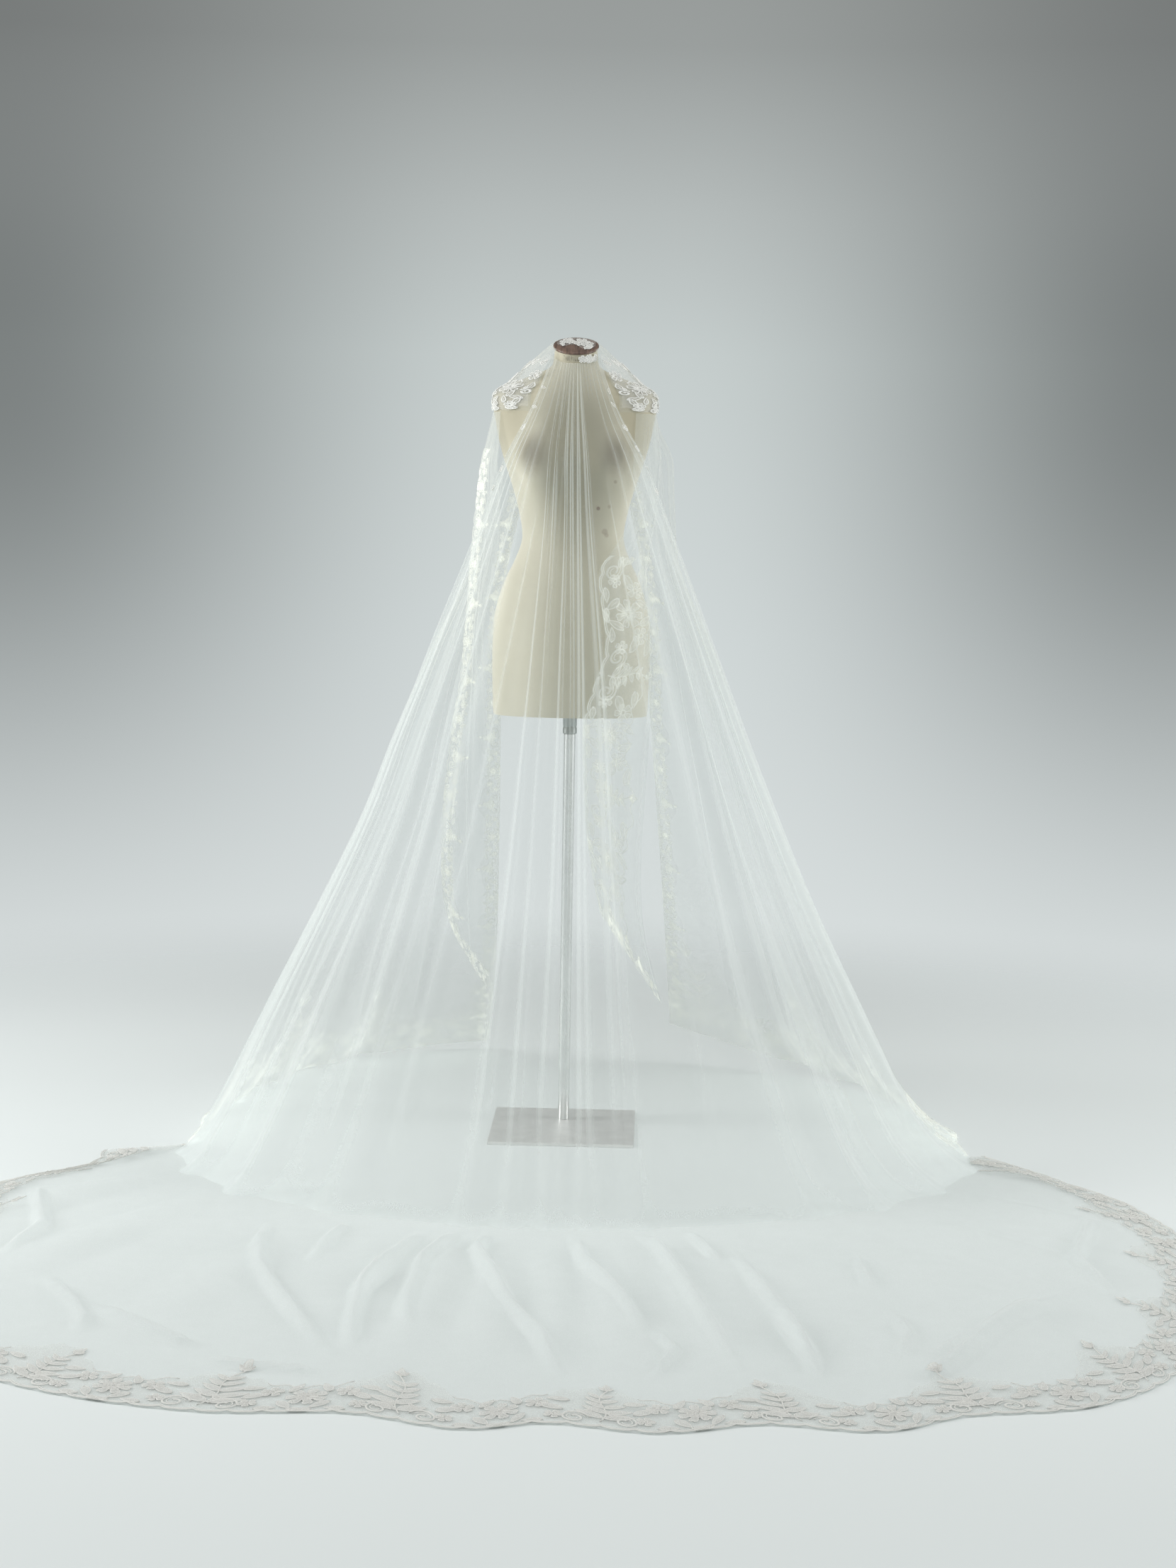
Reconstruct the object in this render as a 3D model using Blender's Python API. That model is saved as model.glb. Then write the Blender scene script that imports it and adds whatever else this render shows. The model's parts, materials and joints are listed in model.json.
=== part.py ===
"""Bridal veil on a dress form: the stand, the form and every stretch of the veil as closed solids.

Metres, +Z up. The origin is on the floor at the pole's axis, and the veil's train runs towards -Y.
Left and right are those of someone who looks along +Y.
"""

import math
from collections import namedtuple

import bmesh
import bpy
from mathutils import Matrix, Vector

# Shared clearances and walls
SEAM_GAP = 0.0003
LACE_GAP = 0.0005
TULLE_WALL = 0.0015
LACE_WALL = 0.0010
SKIN_GAP = 0.0006

# Stand
PLATE_SIDE = 0.300
PLATE_THICKNESS = 0.006
PLATE_FORWARD = 0.060
PLATE_TURN = math.radians(-1.5)
PLATE_BEVEL = 0.0015
POLE_RADIUS = 0.012
SOCKET_RADIUS = 0.0145
SOCKET_HEIGHT = 0.040
ROUND_SIDES = 24

# Dress form: one ring a row, with its reach to the front and back and its tilt up to the back
Ring = namedtuple("Ring", "height half_width front back tilt")
FORM_RINGS = (
    Ring(0.868, 0.1600, 0.105, 0.115, 0.00),
    Ring(0.890, 0.1615, 0.108, 0.120, 0.00),
    Ring(0.980, 0.1640, 0.112, 0.131, 0.00),
    Ring(1.060, 0.1620, 0.110, 0.128, 0.00),
    Ring(1.110, 0.1515, 0.105, 0.114, 0.00),
    Ring(1.150, 0.1380, 0.101, 0.103, 0.00),
    Ring(1.190, 0.1190, 0.095, 0.092, 0.00),
    Ring(1.235, 0.1050, 0.090, 0.085, 0.00),
    Ring(1.290, 0.1130, 0.096, 0.090, 0.00),
    Ring(1.340, 0.1270, 0.106, 0.098, 0.00),
    Ring(1.385, 0.1420, 0.116, 0.104, 0.00),
    Ring(1.430, 0.1550, 0.112, 0.108, 0.00),
    Ring(1.465, 0.1620, 0.101, 0.108, 0.00),
    Ring(1.490, 0.1670, 0.091, 0.105, 0.00),
    Ring(1.512, 0.1690, 0.080, 0.099, 0.00),
    Ring(1.530, 0.1640, 0.069, 0.091, 0.00),
    Ring(1.546, 0.1400, 0.059, 0.081, 0.00),
    Ring(1.560, 0.1050, 0.052, 0.069, 0.00),
    Ring(1.574, 0.0700, 0.048, 0.057, 0.05),
    Ring(1.586, 0.0500, 0.046, 0.049, 0.12),
    Ring(1.605, 0.0450, 0.0445, 0.0455, 0.25),
    Ring(1.6243, 0.0445, 0.0445, 0.0445, 0.40),
)
FORM_SEGMENTS = 36
FORM_SQUARENESS = 2.2
BUST_HEIGHT = 1.385
BUST_ASIDE = 0.075
BUST_REACH = 0.033
BUST_SPREAD_ASIDE = 0.045
BUST_SPREAD_UP = 0.050

# Neck cap, a tilted wooden disc on the neck's top ring
CAP_RADIUS = 0.0468
CAP_THICKNESS = 0.0055
CAP_BEVEL = 0.0015

# Gathers on the neck
GATHER_COUNT = 14
GATHER_COLUMNS_EACH = 4
GATHER_HALF_ANGLE = math.radians(33.0)
GATHER_RING = 20
GATHER_SHARE_UP = 0.72
GATHER_SHARE_DOWN = 0.22
GATHER_RELIEF = 0.0014

# Front fall: half widths, where its edges and its middle stand, and how far its edges rise
FallRow = namedtuple("FallRow", "height left right edge front lift")
FALL_ROWS = (
    FallRow(1.5898, 0.0478, 0.0478, -0.012, -0.0500, 0.018),
    FallRow(1.5300, 0.0710, 0.0690, -0.078, -0.1020, 0.006),
    FallRow(1.4700, 0.0980, 0.0960, -0.107, -0.1400, 0.0),
    FallRow(1.3850, 0.1380, 0.1440, -0.107, -0.1740, 0.0),
    FallRow(1.2800, 0.1760, 0.1860, -0.095, -0.1940, 0.0),
    FallRow(1.1700, 0.2180, 0.2300, -0.080, -0.2200, 0.0),
    FallRow(1.0000, 0.2850, 0.2950, -0.085, -0.2650, 0.0),
    FallRow(0.8300, 0.3540, 0.3600, -0.100, -0.3250, 0.0),
    FallRow(0.6700, 0.4130, 0.4250, -0.125, -0.3900, 0.0),
    FallRow(0.5000, 0.4920, 0.4980, -0.150, -0.4700, 0.0),
    FallRow(0.3300, 0.5750, 0.5800, -0.185, -0.5600, 0.0),
    FallRow(0.1200, 0.6750, 0.6900, -0.225, -0.6800, 0.0),
    FallRow(0.0300, 0.7250, 0.7700, -0.240, -0.7450, 0.0),
    FallRow(0.0015, 0.7600, 0.8250, -0.250, -0.7950, 0.0),
)
FALL_FULL_WIDTH = 0.79
FALL_LIFT_POWER = 4

# Folds that run from the neck to the floor, across from -1 at the left edge to +1 at the right edge
Fold = namedtuple("Fold", "across width height")
FALL_FOLDS = (
    Fold(-0.93, 0.060, 0.016),
    Fold(-0.76, 0.060, 0.028),
    Fold(-0.57, 0.060, 0.030),
    Fold(-0.36, 0.060, 0.016),
    Fold(-0.14, 0.034, 0.018),
    Fold(-0.075, 0.030, 0.015),
    Fold(-0.015, 0.028, 0.018),
    Fold(0.042, 0.028, 0.018),
    Fold(0.120, 0.034, 0.020),
    Fold(0.390, 0.060, 0.018),
    Fold(0.520, 0.055, 0.028),
    Fold(0.680, 0.060, 0.024),
    Fold(0.880, 0.070, 0.018),
)
WIDEST_COLUMN = 0.095

# Train: the outer edge on the floor, by the angle from straight ahead and the distance from the pole
HemPoint = namedtuple("HemPoint", "angle radius")
HEM_POINTS = (
    HemPoint(-71.0, 0.972),
    HemPoint(-65.5, 1.020),
    HemPoint(-62.0, 1.215),
    HemPoint(-56.0, 1.350),
    HemPoint(-48.0, 1.500),
    HemPoint(-40.0, 1.660),
    HemPoint(-33.0, 1.775),
    HemPoint(-25.0, 1.815),
    HemPoint(-16.0, 1.800),
    HemPoint(-9.5, 1.750),
    HemPoint(-4.0, 1.785),
    HemPoint(0.0, 1.752),
    HemPoint(5.0, 1.790),
    HemPoint(10.0, 1.770),
    HemPoint(15.0, 1.825),
    HemPoint(19.5, 1.800),
    HemPoint(25.5, 1.830),
    HemPoint(32.0, 1.780),
    HemPoint(40.0, 1.650),
    HemPoint(49.0, 1.500),
    HemPoint(56.5, 1.345),
    HemPoint(62.0, 1.215),
    HemPoint(66.0, 1.080),
    HemPoint(74.5, 0.890),
)
TRAIN_STEPS = (0.0, 0.15, 0.40, 0.70, 1.0)
TRAIN_RIDGE = 0.55
LACE_DEPTH = 0.110
SPRIG_DEPTH = 0.210
SPRIG_SPACING = 0.290
SPRIG_SHARPNESS = 3
SPRIG_SHARE = 0.96
BORDER_SHARE = 0.45

# Side stretches: where the edge nearest the fall and the free edge stand
SideRow = namedtuple("SideRow", "height outer_x outer_y free_x free_y")
SIDE_TOP_HEIGHT = 1.4830
LEFT_UPPER_ROWS = (
    SideRow(1.3850, -0.1900, 0.014, -0.095, 0.135),
    SideRow(1.2800, -0.2010, 0.010, -0.115, 0.137),
    SideRow(1.1700, -0.2120, 0.004, -0.138, 0.142),
)
RIGHT_UPPER_ROWS = (
    SideRow(1.3850, 0.2060, 0.014, 0.100, 0.135),
    SideRow(1.2800, 0.2110, 0.010, 0.120, 0.137),
    SideRow(1.1700, 0.2230, 0.004, 0.142, 0.142),
)
FreeEdge = namedtuple("FreeEdge", "height left_x left_y right_x right_y")
FREE_EDGES = (
    FreeEdge(1.0000, -0.150, 0.168, 0.160, 0.170),
    FreeEdge(0.8300, -0.152, 0.205, 0.170, 0.210),
    FreeEdge(0.6700, -0.153, 0.255, 0.185, 0.260),
    FreeEdge(0.5000, -0.156, 0.315, 0.200, 0.310),
    FreeEdge(0.3300, -0.160, 0.395, 0.215, 0.380),
    FreeEdge(0.1200, -0.175, 0.560, 0.232, 0.480),
    FreeEdge(0.0300, -0.185, 0.660, 0.240, 0.540),
    FreeEdge(0.0000, -0.190, 0.700, 0.240, 0.560),
)
HEM_RISE_LEFT = 0.020
HEM_RISE_RIGHT = 0.100
HEM_RISE_POWER = 3
HEM_LACE_ROWS = 2
SIDE_FOLDS = (
    Fold(0.16, 0.080, 0.020),
    Fold(0.34, 0.070, 0.026),
    Fold(0.50, 0.070, 0.020),
    Fold(0.66, 0.070, 0.024),
)
SIDE_EDGE_COLUMNS = (0.82, 0.91, 1.0)
SIDE_WIDEST_COLUMN = 0.12
SIDE_FULL_REACH = 0.60
HEM_LACE_LIFT = 0.05

# Drapes that hang from the shoulders inside the fall
DrapeRow = namedtuple("DrapeRow", "outer_x outer_y outer_z inner_x inner_y inner_z")
LEFT_DRAPE_ROWS = (
    DrapeRow(-0.1930, -0.020, 1.380, -0.1560, -0.074, 1.380),
    DrapeRow(-0.2050, -0.033, 1.260, -0.1480, -0.084, 1.260),
    DrapeRow(-0.2130, -0.040, 1.150, -0.1620, -0.088, 1.150),
    DrapeRow(-0.2190, -0.048, 1.050, -0.1780, -0.092, 1.050),
    DrapeRow(-0.2270, -0.055, 0.950, -0.1760, -0.092, 0.950),
    DrapeRow(-0.2450, -0.064, 0.830, -0.1680, -0.092, 0.820),
    DrapeRow(-0.2570, -0.070, 0.710, -0.1600, -0.092, 0.690),
    DrapeRow(-0.2620, -0.075, 0.600, -0.1520, -0.092, 0.550),
    DrapeRow(-0.2550, -0.080, 0.480, -0.1480, -0.092, 0.410),
    DrapeRow(-0.2300, -0.082, 0.410, -0.1620, -0.092, 0.300),
)
RIGHT_DRAPE_ROWS = (
    DrapeRow(0.1800, -0.048, 1.400, 0.1210, -0.097, 1.400),
    DrapeRow(0.1720, -0.070, 1.290, 0.1160, -0.120, 1.280),
    DrapeRow(0.1600, -0.088, 1.215, 0.0840, -0.134, 1.215),
    DrapeRow(0.1550, -0.098, 1.160, 0.0540, -0.138, 1.160),
    DrapeRow(0.1660, -0.110, 1.030, 0.0700, -0.142, 1.020),
    DrapeRow(0.1680, -0.114, 0.930, 0.0450, -0.142, 0.930),
    DrapeRow(0.1640, -0.118, 0.840, 0.0280, -0.142, 0.860),
    DrapeRow(0.1580, -0.120, 0.720, 0.0300, -0.140, 0.760),
    DrapeRow(0.1520, -0.120, 0.590, 0.0360, -0.138, 0.660),
    DrapeRow(0.1600, -0.120, 0.440, 0.0500, -0.136, 0.560),
    DrapeRow(0.2000, -0.120, 0.280, 0.0700, -0.134, 0.470),
)
DRAPE_FOLDS = (
    Fold(0.30, 0.200, 0.006),
    Fold(0.70, 0.200, 0.005),
)
DRAPE_COLUMNS = 8
LEFT_DRAPE_LACE = 3
RIGHT_DRAPE_LACE = 5
RIGHT_DRAPE_PLAIN_ROWS = 3

# Mantle over the shoulders, open at the front
MANTLE_START_CAP = math.radians(54.0)
MANTLE_START_CHEST = math.radians(30.0)
MANTLE_COLUMNS = 30
MANTLE_TAUT_STEPS = (0.0, 0.33, 0.66)
MANTLE_FORM_RINGS = (16, 15, 14, 13)
MANTLE_PLEAT = 0.0025
SHOULDER_LACE_COLUMNS = 8
FRONT_LACE_ROW = 2
BACK_LACE_ROW = 4

# Where each stretch hangs from the mantle's lower edge, by the angle from straight ahead, in degrees
Hang = namedtuple("Hang", "first last")
LEFT_SIDE_HANG = Hang(268.0, 204.0)
RIGHT_SIDE_HANG = Hang(92.0, 156.0)
LEFT_DRAPE_HANG = Hang(273.0, 297.0)
RIGHT_DRAPE_HANG = Hang(82.0, 46.0)

# Lace over the cap: its front edge, by the place across the cap
CapLace = namedtuple("CapLace", "across front")
CAP_LACE_EDGE = (
    CapLace(-0.92, 0.002),
    CapLace(-0.60, -0.004),
    CapLace(-0.30, 0.004),
    CapLace(0.00, 0.010),
    CapLace(0.25, -0.018),
    CapLace(0.50, -0.026),
    CapLace(0.75, -0.016),
    CapLace(0.92, -0.004),
)
CAP_LACE_COLUMNS = 14
CAP_LACE_ROWS = 3
CAP_LACE_INSET = 0.0010


# A grid of points on the cloth, rows first, with a normal for each point
Cloth = namedtuple("Cloth", "grid normals turned")


def clear_scene():
    """Remove every object that the file holds."""
    for old in list(bpy.data.objects):
        bpy.data.objects.remove(old, do_unlink=True)


def make_material(name, colour, roughness, metallic=0.0):
    """Return a Principled material of one colour."""
    material = bpy.data.materials.new(name)
    material.use_nodes = True
    shader = material.node_tree.nodes["Principled BSDF"]
    shader.inputs["Base Color"].default_value = (*colour, 1.0)
    shader.inputs["Roughness"].default_value = roughness
    shader.inputs["Metallic"].default_value = metallic
    return material


def object_from_bmesh(name, shape, material):
    """Turn a bmesh into a named, smooth-shaded object in the scene."""
    mesh = bpy.data.meshes.new(name)
    shape.to_mesh(mesh)
    shape.free()
    mesh.materials.append(material)
    mesh.shade_smooth()
    mesh.set_sharp_from_angle(angle=math.radians(40))
    made = bpy.data.objects.new(name, mesh)
    bpy.context.scene.collection.objects.link(made)
    return made


def smooth_number(before, start, end, after, share):
    """Catmull-Rom value at a share of the way from start to end."""
    bend = 2 * before - 5 * start + 4 * end - after
    twist = 3 * start - before - 3 * end + after
    return start + 0.5 * share * ((end - before) + share * (bend + share * twist))


def smooth_row(table, position):
    """Return the row at a fractional position in a table, smooth from row to row."""
    last = len(table) - 1
    position = min(max(position, 0.0), float(last))
    index = min(int(position), last - 1)
    share = position - index
    rows = [table[min(max(index + step, 0), last)] for step in (-1, 0, 1, 2)]
    return type(table[0])(*(smooth_number(*column, share) for column in zip(*rows)))


def smooth_at(table, key, value):
    """Return the row where the column called key has a value; that column rises down the table."""
    last = len(table) - 1
    for index in range(last):
        low = getattr(table[index], key)
        high = getattr(table[index + 1], key)
        if value <= high or index == last - 1:
            return smooth_row(table, index + (value - low) / (high - low))
    return table[last]


def bell(distance):
    """Return a hump of height 1 that ends at a distance of 1 either way."""
    return 0.5 * (1.0 + math.cos(math.pi * distance)) if abs(distance) < 1.0 else 0.0


def fold_height(folds, across):
    """Return how far the folds lift the cloth at a place across it."""
    return sum(fold.height * bell((across - fold.across) / fold.width) for fold in folds)


def fold_columns(folds, first, last, widest):
    """Return places across the cloth: each fold's foot, flanks and top, and none far apart."""
    marks = {first, last}
    for fold in folds:
        marks.update(fold.across + step * fold.width for step in (-1.0, -0.5, 0.0, 0.5, 1.0))
    tops = {fold.across for fold in folds}
    closest = min(fold.width for fold in folds) / 2
    kept = []
    for mark in sorted(mark for mark in marks if first <= mark <= last):
        if kept and mark - kept[-1] < closest:
            if mark in tops or mark == last:
                kept[-1] = mark
            continue
        while kept and mark - kept[-1] > widest:
            parts = math.ceil((mark - kept[-1]) / widest)
            kept.append(kept[-1] + (mark - kept[-1]) / parts)
        kept.append(mark)
    return kept


def grid_normals(grid):
    """Return a unit normal for each point of a grid, down turned towards across."""
    rows, columns = len(grid), len(grid[0])
    normals = []
    for j in range(rows):
        line = []
        for i in range(columns):
            across = grid[j][min(i + 1, columns - 1)] - grid[j][max(i - 1, 0)]
            down = grid[min(j + 1, rows - 1)][i] - grid[max(j - 1, 0)][i]
            line.append(down.cross(across).normalized())
        normals.append(line)
    return normals


def make_cloth(grid, outward):
    """Return a grid whose faces turn outward, its normals, and whether its columns were reversed.

    outward is a direction, or None for away from the pole's axis.
    """
    normals = grid_normals(grid)
    j, i = len(grid) - 2, len(grid[0]) // 2
    point = grid[j][i]
    if normals[j][i].dot(outward or Vector((point.x, point.y, 0.0))) > 0:
        return Cloth(grid, normals, False)
    turned = [line[::-1] for line in grid]
    return Cloth(turned, grid_normals(turned), True)


def wall_solid(name, cloth, material, low, high, keep=None, relief=None):
    """Make one closed wall between two levels above a cloth's points.

    keep(row, column) says which of the grid's cells the wall covers, all of them by default, and
    relief(column) raises the outer points. Both count the columns as the grid was first laid out.
    """
    grid, normals = cloth.grid, cloth.normals
    rows, columns = len(grid) - 1, len(grid[0]) - 1
    triangles = []
    for j in range(rows):
        for i in range(columns):
            if keep is None or keep(j, columns - 1 - i if cloth.turned else i):
                triangles.append(((j, i), (j + 1, i), (j + 1, i + 1)))
                triangles.append(((j, i), (j + 1, i + 1), (j, i + 1)))
    shape = bmesh.new()
    upper, lower = {}, {}
    for j, i in sorted({corner for triangle in triangles for corner in triangle}):
        rise = relief(columns - i if cloth.turned else i) if relief else 0.0
        upper[j, i] = shape.verts.new(grid[j][i] + normals[j][i] * (high + rise))
        lower[j, i] = shape.verts.new(grid[j][i] + normals[j][i] * low)
    edges = set()
    for triangle in triangles:
        shape.faces.new([upper[corner] for corner in triangle])
        shape.faces.new([lower[corner] for corner in reversed(triangle)])
        edges.update(zip(triangle, triangle[1:] + triangle[:1]))
    for start, end in sorted(edges):
        if (end, start) not in edges:
            shape.faces.new((upper[end], upper[start], lower[start]))
            shape.faces.new((upper[end], lower[start], lower[end]))
    return object_from_bmesh(name, shape, material)


def flatten_rows(cloth, rows):
    """Point the normals of some rows straight up, where the cloth lies on the floor."""
    for j in rows:
        cloth.normals[j][:] = [Vector((0.0, 0.0, 1.0)) for _ in cloth.normals[j]]


def level_rows(cloth, rows):
    """Take the rise out of the normals of some rows, where a hem stands on the floor."""
    for j in rows:
        cloth.normals[j][:] = [Vector((n.x, n.y, 0.0)).normalized() for n in cloth.normals[j]]


def form_point(angle, ring):
    """Return the form's skin at an angle from straight ahead on one of its rings."""
    power = 2.0 / FORM_SQUARENESS
    aside, ahead = math.sin(angle), math.cos(angle)
    x = ring.half_width * math.copysign(abs(aside) ** power, aside)
    reach = ring.front if ahead > 0 else ring.back
    y = -reach * math.copysign(abs(ahead) ** power, ahead)
    if ahead > 0:
        rise = math.exp(-((ring.height - BUST_HEIGHT) / BUST_SPREAD_UP) ** 2)
        spread = math.exp(-((abs(x) - BUST_ASIDE) / BUST_SPREAD_ASIDE) ** 2)
        y -= BUST_REACH * rise * spread * ahead
    return Vector((x, y, ring.height + ring.tilt * y))


def closed_rings(name, rings, material):
    """Bridge closed rings of points, bottom first, into one solid with flat ends."""
    shape = bmesh.new()
    lines = [[shape.verts.new(point) for point in ring] for ring in rings]
    count = len(lines[0])
    for below, above in zip(lines, lines[1:]):
        for i in range(count):
            n = (i + 1) % count
            shape.faces.new((below[i], below[n], above[i]))
            shape.faces.new((below[n], above[n], above[i]))
    shape.faces.new(lines[0][::-1])
    shape.faces.new(lines[-1])
    return object_from_bmesh(name, shape, material)


def make_form(material):
    """Loft the torso from its rings, with a flat underside and a tilted neck top."""
    angles = [2 * math.pi * i / FORM_SEGMENTS for i in range(FORM_SEGMENTS)]
    rings = [[form_point(angle, ring) for angle in angles] for ring in FORM_RINGS]
    return closed_rings("form_torso", rings, material)


def cap_point(angle, radius, level):
    """Return a point of the tilted cap at a radius and a level above the neck's top."""
    neck = FORM_RINGS[-1]
    x = radius * math.sin(angle)
    y = -radius * math.cos(angle)
    return Vector((x, y, neck.height + neck.tilt * y + level))


def make_cap(material):
    """Make the wooden disc on the neck, with eased edges."""
    outline = (
        (CAP_RADIUS - CAP_BEVEL, SEAM_GAP),
        (CAP_RADIUS, SEAM_GAP + CAP_BEVEL),
        (CAP_RADIUS, SEAM_GAP + CAP_THICKNESS - CAP_BEVEL),
        (CAP_RADIUS - CAP_BEVEL, SEAM_GAP + CAP_THICKNESS),
    )
    angles = [2 * math.pi * i / FORM_SEGMENTS for i in range(FORM_SEGMENTS)]
    rings = [[cap_point(angle, radius, level) for angle in angles] for radius, level in outline]
    return closed_rings("form_neck_cap", rings, material)


def make_cylinder(name, radius, bottom, top, material):
    """Make an upright cylinder on the pole's axis."""
    shape = bmesh.new()
    middle = Matrix.Translation((0.0, 0.0, (bottom + top) / 2))
    bmesh.ops.create_cone(
        shape,
        cap_ends=True,
        segments=ROUND_SIDES,
        radius1=radius,
        radius2=radius,
        depth=top - bottom,
        matrix=middle,
    )
    return object_from_bmesh(name, shape, material)


def make_stand(steel, dark):
    """Make the square plate, the pole and the socket under the form."""
    plate = bmesh.new()
    size = Matrix.Diagonal((PLATE_SIDE, PLATE_SIDE, PLATE_THICKNESS, 1.0))
    place = Matrix.Translation((0.0, -PLATE_FORWARD, PLATE_THICKNESS / 2))
    turn = Matrix.Rotation(PLATE_TURN, 4, "Z")
    bmesh.ops.create_cube(plate, size=1.0, matrix=place @ turn @ size)
    top_edges = [e for e in plate.edges if all(v.co.z > PLATE_THICKNESS / 2 for v in e.verts)]
    bmesh.ops.bevel(plate, geom=top_edges, offset=PLATE_BEVEL, segments=2, affect="EDGES")
    object_from_bmesh("stand_base", plate, steel)
    form_bottom = FORM_RINGS[0].height
    socket_bottom = form_bottom - SEAM_GAP - SOCKET_HEIGHT
    pole_bottom = PLATE_THICKNESS + SEAM_GAP
    make_cylinder("stand_pole", POLE_RADIUS, pole_bottom, socket_bottom - SEAM_GAP, steel)
    make_cylinder("stand_socket", SOCKET_RADIUS, socket_bottom, form_bottom - SEAM_GAP, dark)


def make_gather(tulle):
    """Make the short band of gathers on the front of the neck: ribs over a plain inside."""
    below, ring, above = FORM_RINGS[GATHER_RING - 1:GATHER_RING + 2]
    steps = GATHER_COLUMNS_EACH * GATHER_COUNT
    angles = [GATHER_HALF_ANGLE * (2.0 * i / steps - 1.0) for i in range(steps + 1)]
    grid = []
    for other, share in ((above, GATHER_SHARE_UP), (ring, 0.0), (below, GATHER_SHARE_DOWN)):
        grid.append([form_point(a, ring).lerp(form_point(a, other), share) for a in angles])

    def rib(column):
        """Return how far a column of the band stands out."""
        return GATHER_RELIEF * 0.5 * (1.0 - math.cos(2 * math.pi * column / GATHER_COLUMNS_EACH))

    cloth = make_cloth(grid, Vector((0.0, -1.0, 0.0)))
    return wall_solid("veil_gather", cloth, tulle, SKIN_GAP, SKIN_GAP + LACE_WALL, relief=rib)


def fall_point(row, across):
    """Return a point of the front fall on one of its rows."""
    turn = across * math.pi / 2
    half = row.left + (row.right - row.left) * (across + 1.0) / 2
    aside, ahead = math.sin(turn), math.cos(turn)
    lift = fold_height(FALL_FOLDS, across) * min(half / FALL_FULL_WIDTH, 1.0)
    x = (half + lift) * aside
    y = row.edge + (row.front - row.edge - lift) * ahead
    return Vector((x, y, row.height + row.lift * aside ** FALL_LIFT_POWER))


def hem_point(across):
    """Return the train's outer edge at a place across it."""
    first, last = HEM_POINTS[0].angle, HEM_POINTS[-1].angle
    angle = first + (last - first) * (across + 1.0) / 2
    radius = smooth_at(HEM_POINTS, "angle", angle).radius
    turn = math.radians(angle)
    return Vector((radius * math.sin(turn), -radius * math.cos(turn), TULLE_WALL))


def train_grid(columns):
    """Return the train's points: from the fall's foot to its border, the dense lace, the hem."""
    foot = FALL_ROWS[-1]
    grid = [[] for _ in range(len(TRAIN_STEPS) + 2)]
    for across in columns:
        start = fall_point(foot, across)
        end = hem_point(across)
        run = (end - start).length
        heading = (end - start).normalized()
        border = min(SPRIG_DEPTH, BORDER_SHARE * run)
        start += heading * SEAM_GAP
        for j, share in enumerate(TRAIN_STEPS):
            place = start.lerp(end - heading * border, share)
            ridge = fold_height(FALL_FOLDS, across) * TRAIN_RIDGE * math.sin(math.pi * share) ** 2
            grid[j].append(place + Vector((0.0, 0.0, ridge)))
        grid[-2].append(end - heading * border * LACE_DEPTH / SPRIG_DEPTH)
        grid[-1].append(end)
    return grid


def sprig_line(train):
    """Return the lace border's inner edge on the train, which rises to a spray at each repeat."""
    line = []
    travelled = 0.0
    for i, hem in enumerate(train[-1]):
        travelled += (hem - train[-1][i - 1]).length if i else 0.0
        peak = abs(math.cos(math.pi * travelled / SPRIG_SPACING)) ** SPRIG_SHARPNESS
        line.append(train[-2][i].lerp(train[-3][i], peak * SPRIG_SHARE))
    return line


def make_front(tulle, lace):
    """Make the front fall, the train it runs into and the lace along the train's hem."""
    columns = fold_columns(FALL_FOLDS, -1.0, 1.0, WIDEST_COLUMN)
    fall = [[fall_point(row, across) for across in columns] for row in FALL_ROWS]
    fall_cloth = make_cloth(fall, Vector((0.0, -1.0, 0.0)))
    flatten_rows(fall_cloth, [len(fall) - 1])
    wall_solid("veil_front_fall", fall_cloth, tulle, -TULLE_WALL, 0.0)
    train = train_grid(columns)
    train_cloth = make_cloth(train, Vector((0.0, 0.0, 1.0)))
    flatten_rows(train_cloth, [0, *range(len(TRAIN_STEPS) - 1, len(train))])
    wall_solid("veil_train", train_cloth, tulle, -TULLE_WALL, 0.0)
    border = make_cloth([sprig_line(train), train[-1]], Vector((0.0, 0.0, 1.0)))
    flatten_rows(border, [0, 1])
    wall_solid("lace_train_hem", border, lace, LACE_GAP, LACE_GAP + LACE_WALL)


def mantle_edge(mantle, hang, across):
    """Return a point just under the mantle's lower edge, at a place across what hangs there."""
    edge = mantle[-1] if mantle[-1][0].x > 0 else mantle[-1][::-1]
    angle = math.radians(hang.first + (hang.last - hang.first) * across)
    position = (angle - MANTLE_START_CHEST) * MANTLE_COLUMNS / (2 * math.pi - 2 * MANTLE_START_CHEST)
    index = min(int(position), len(edge) - 2)
    place = edge[index].lerp(edge[index + 1], position - index)
    return place - Vector((0.0, 0.0, 2 * SEAM_GAP))


def side_rows(upper, left):
    """Join a side's upper rows to rows that start at the edge of the front fall."""
    rows = list(upper)
    for free, fall in zip(FREE_EDGES, FALL_ROWS[-len(FREE_EDGES):]):
        edge = fall_point(fall, -1.0 if left else 1.0)
        free_x = free.left_x if left else free.right_x
        free_y = free.left_y if left else free.right_y
        rows.append(SideRow(free.height, edge.x, edge.y + 2 * SEAM_GAP, free_x, free_y))
    return rows


def side_point(row, across, rise):
    """Return a point of a side stretch, from the fall's edge at 0 round to the free edge at 1."""
    turn = across * math.pi / 2
    width = row.outer_x - row.free_x
    reach = row.free_y - row.outer_y
    lift = fold_height(SIDE_FOLDS, across) * min(reach / SIDE_FULL_REACH, 1.0)
    x = row.free_x + (width + math.copysign(lift, width)) * math.cos(turn)
    y = row.outer_y + (reach + lift) * math.sin(turn)
    z = row.height + rise * across ** HEM_RISE_POWER * (1.0 - row.height / SIDE_TOP_HEIGHT)
    return Vector((x, y, z))


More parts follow.
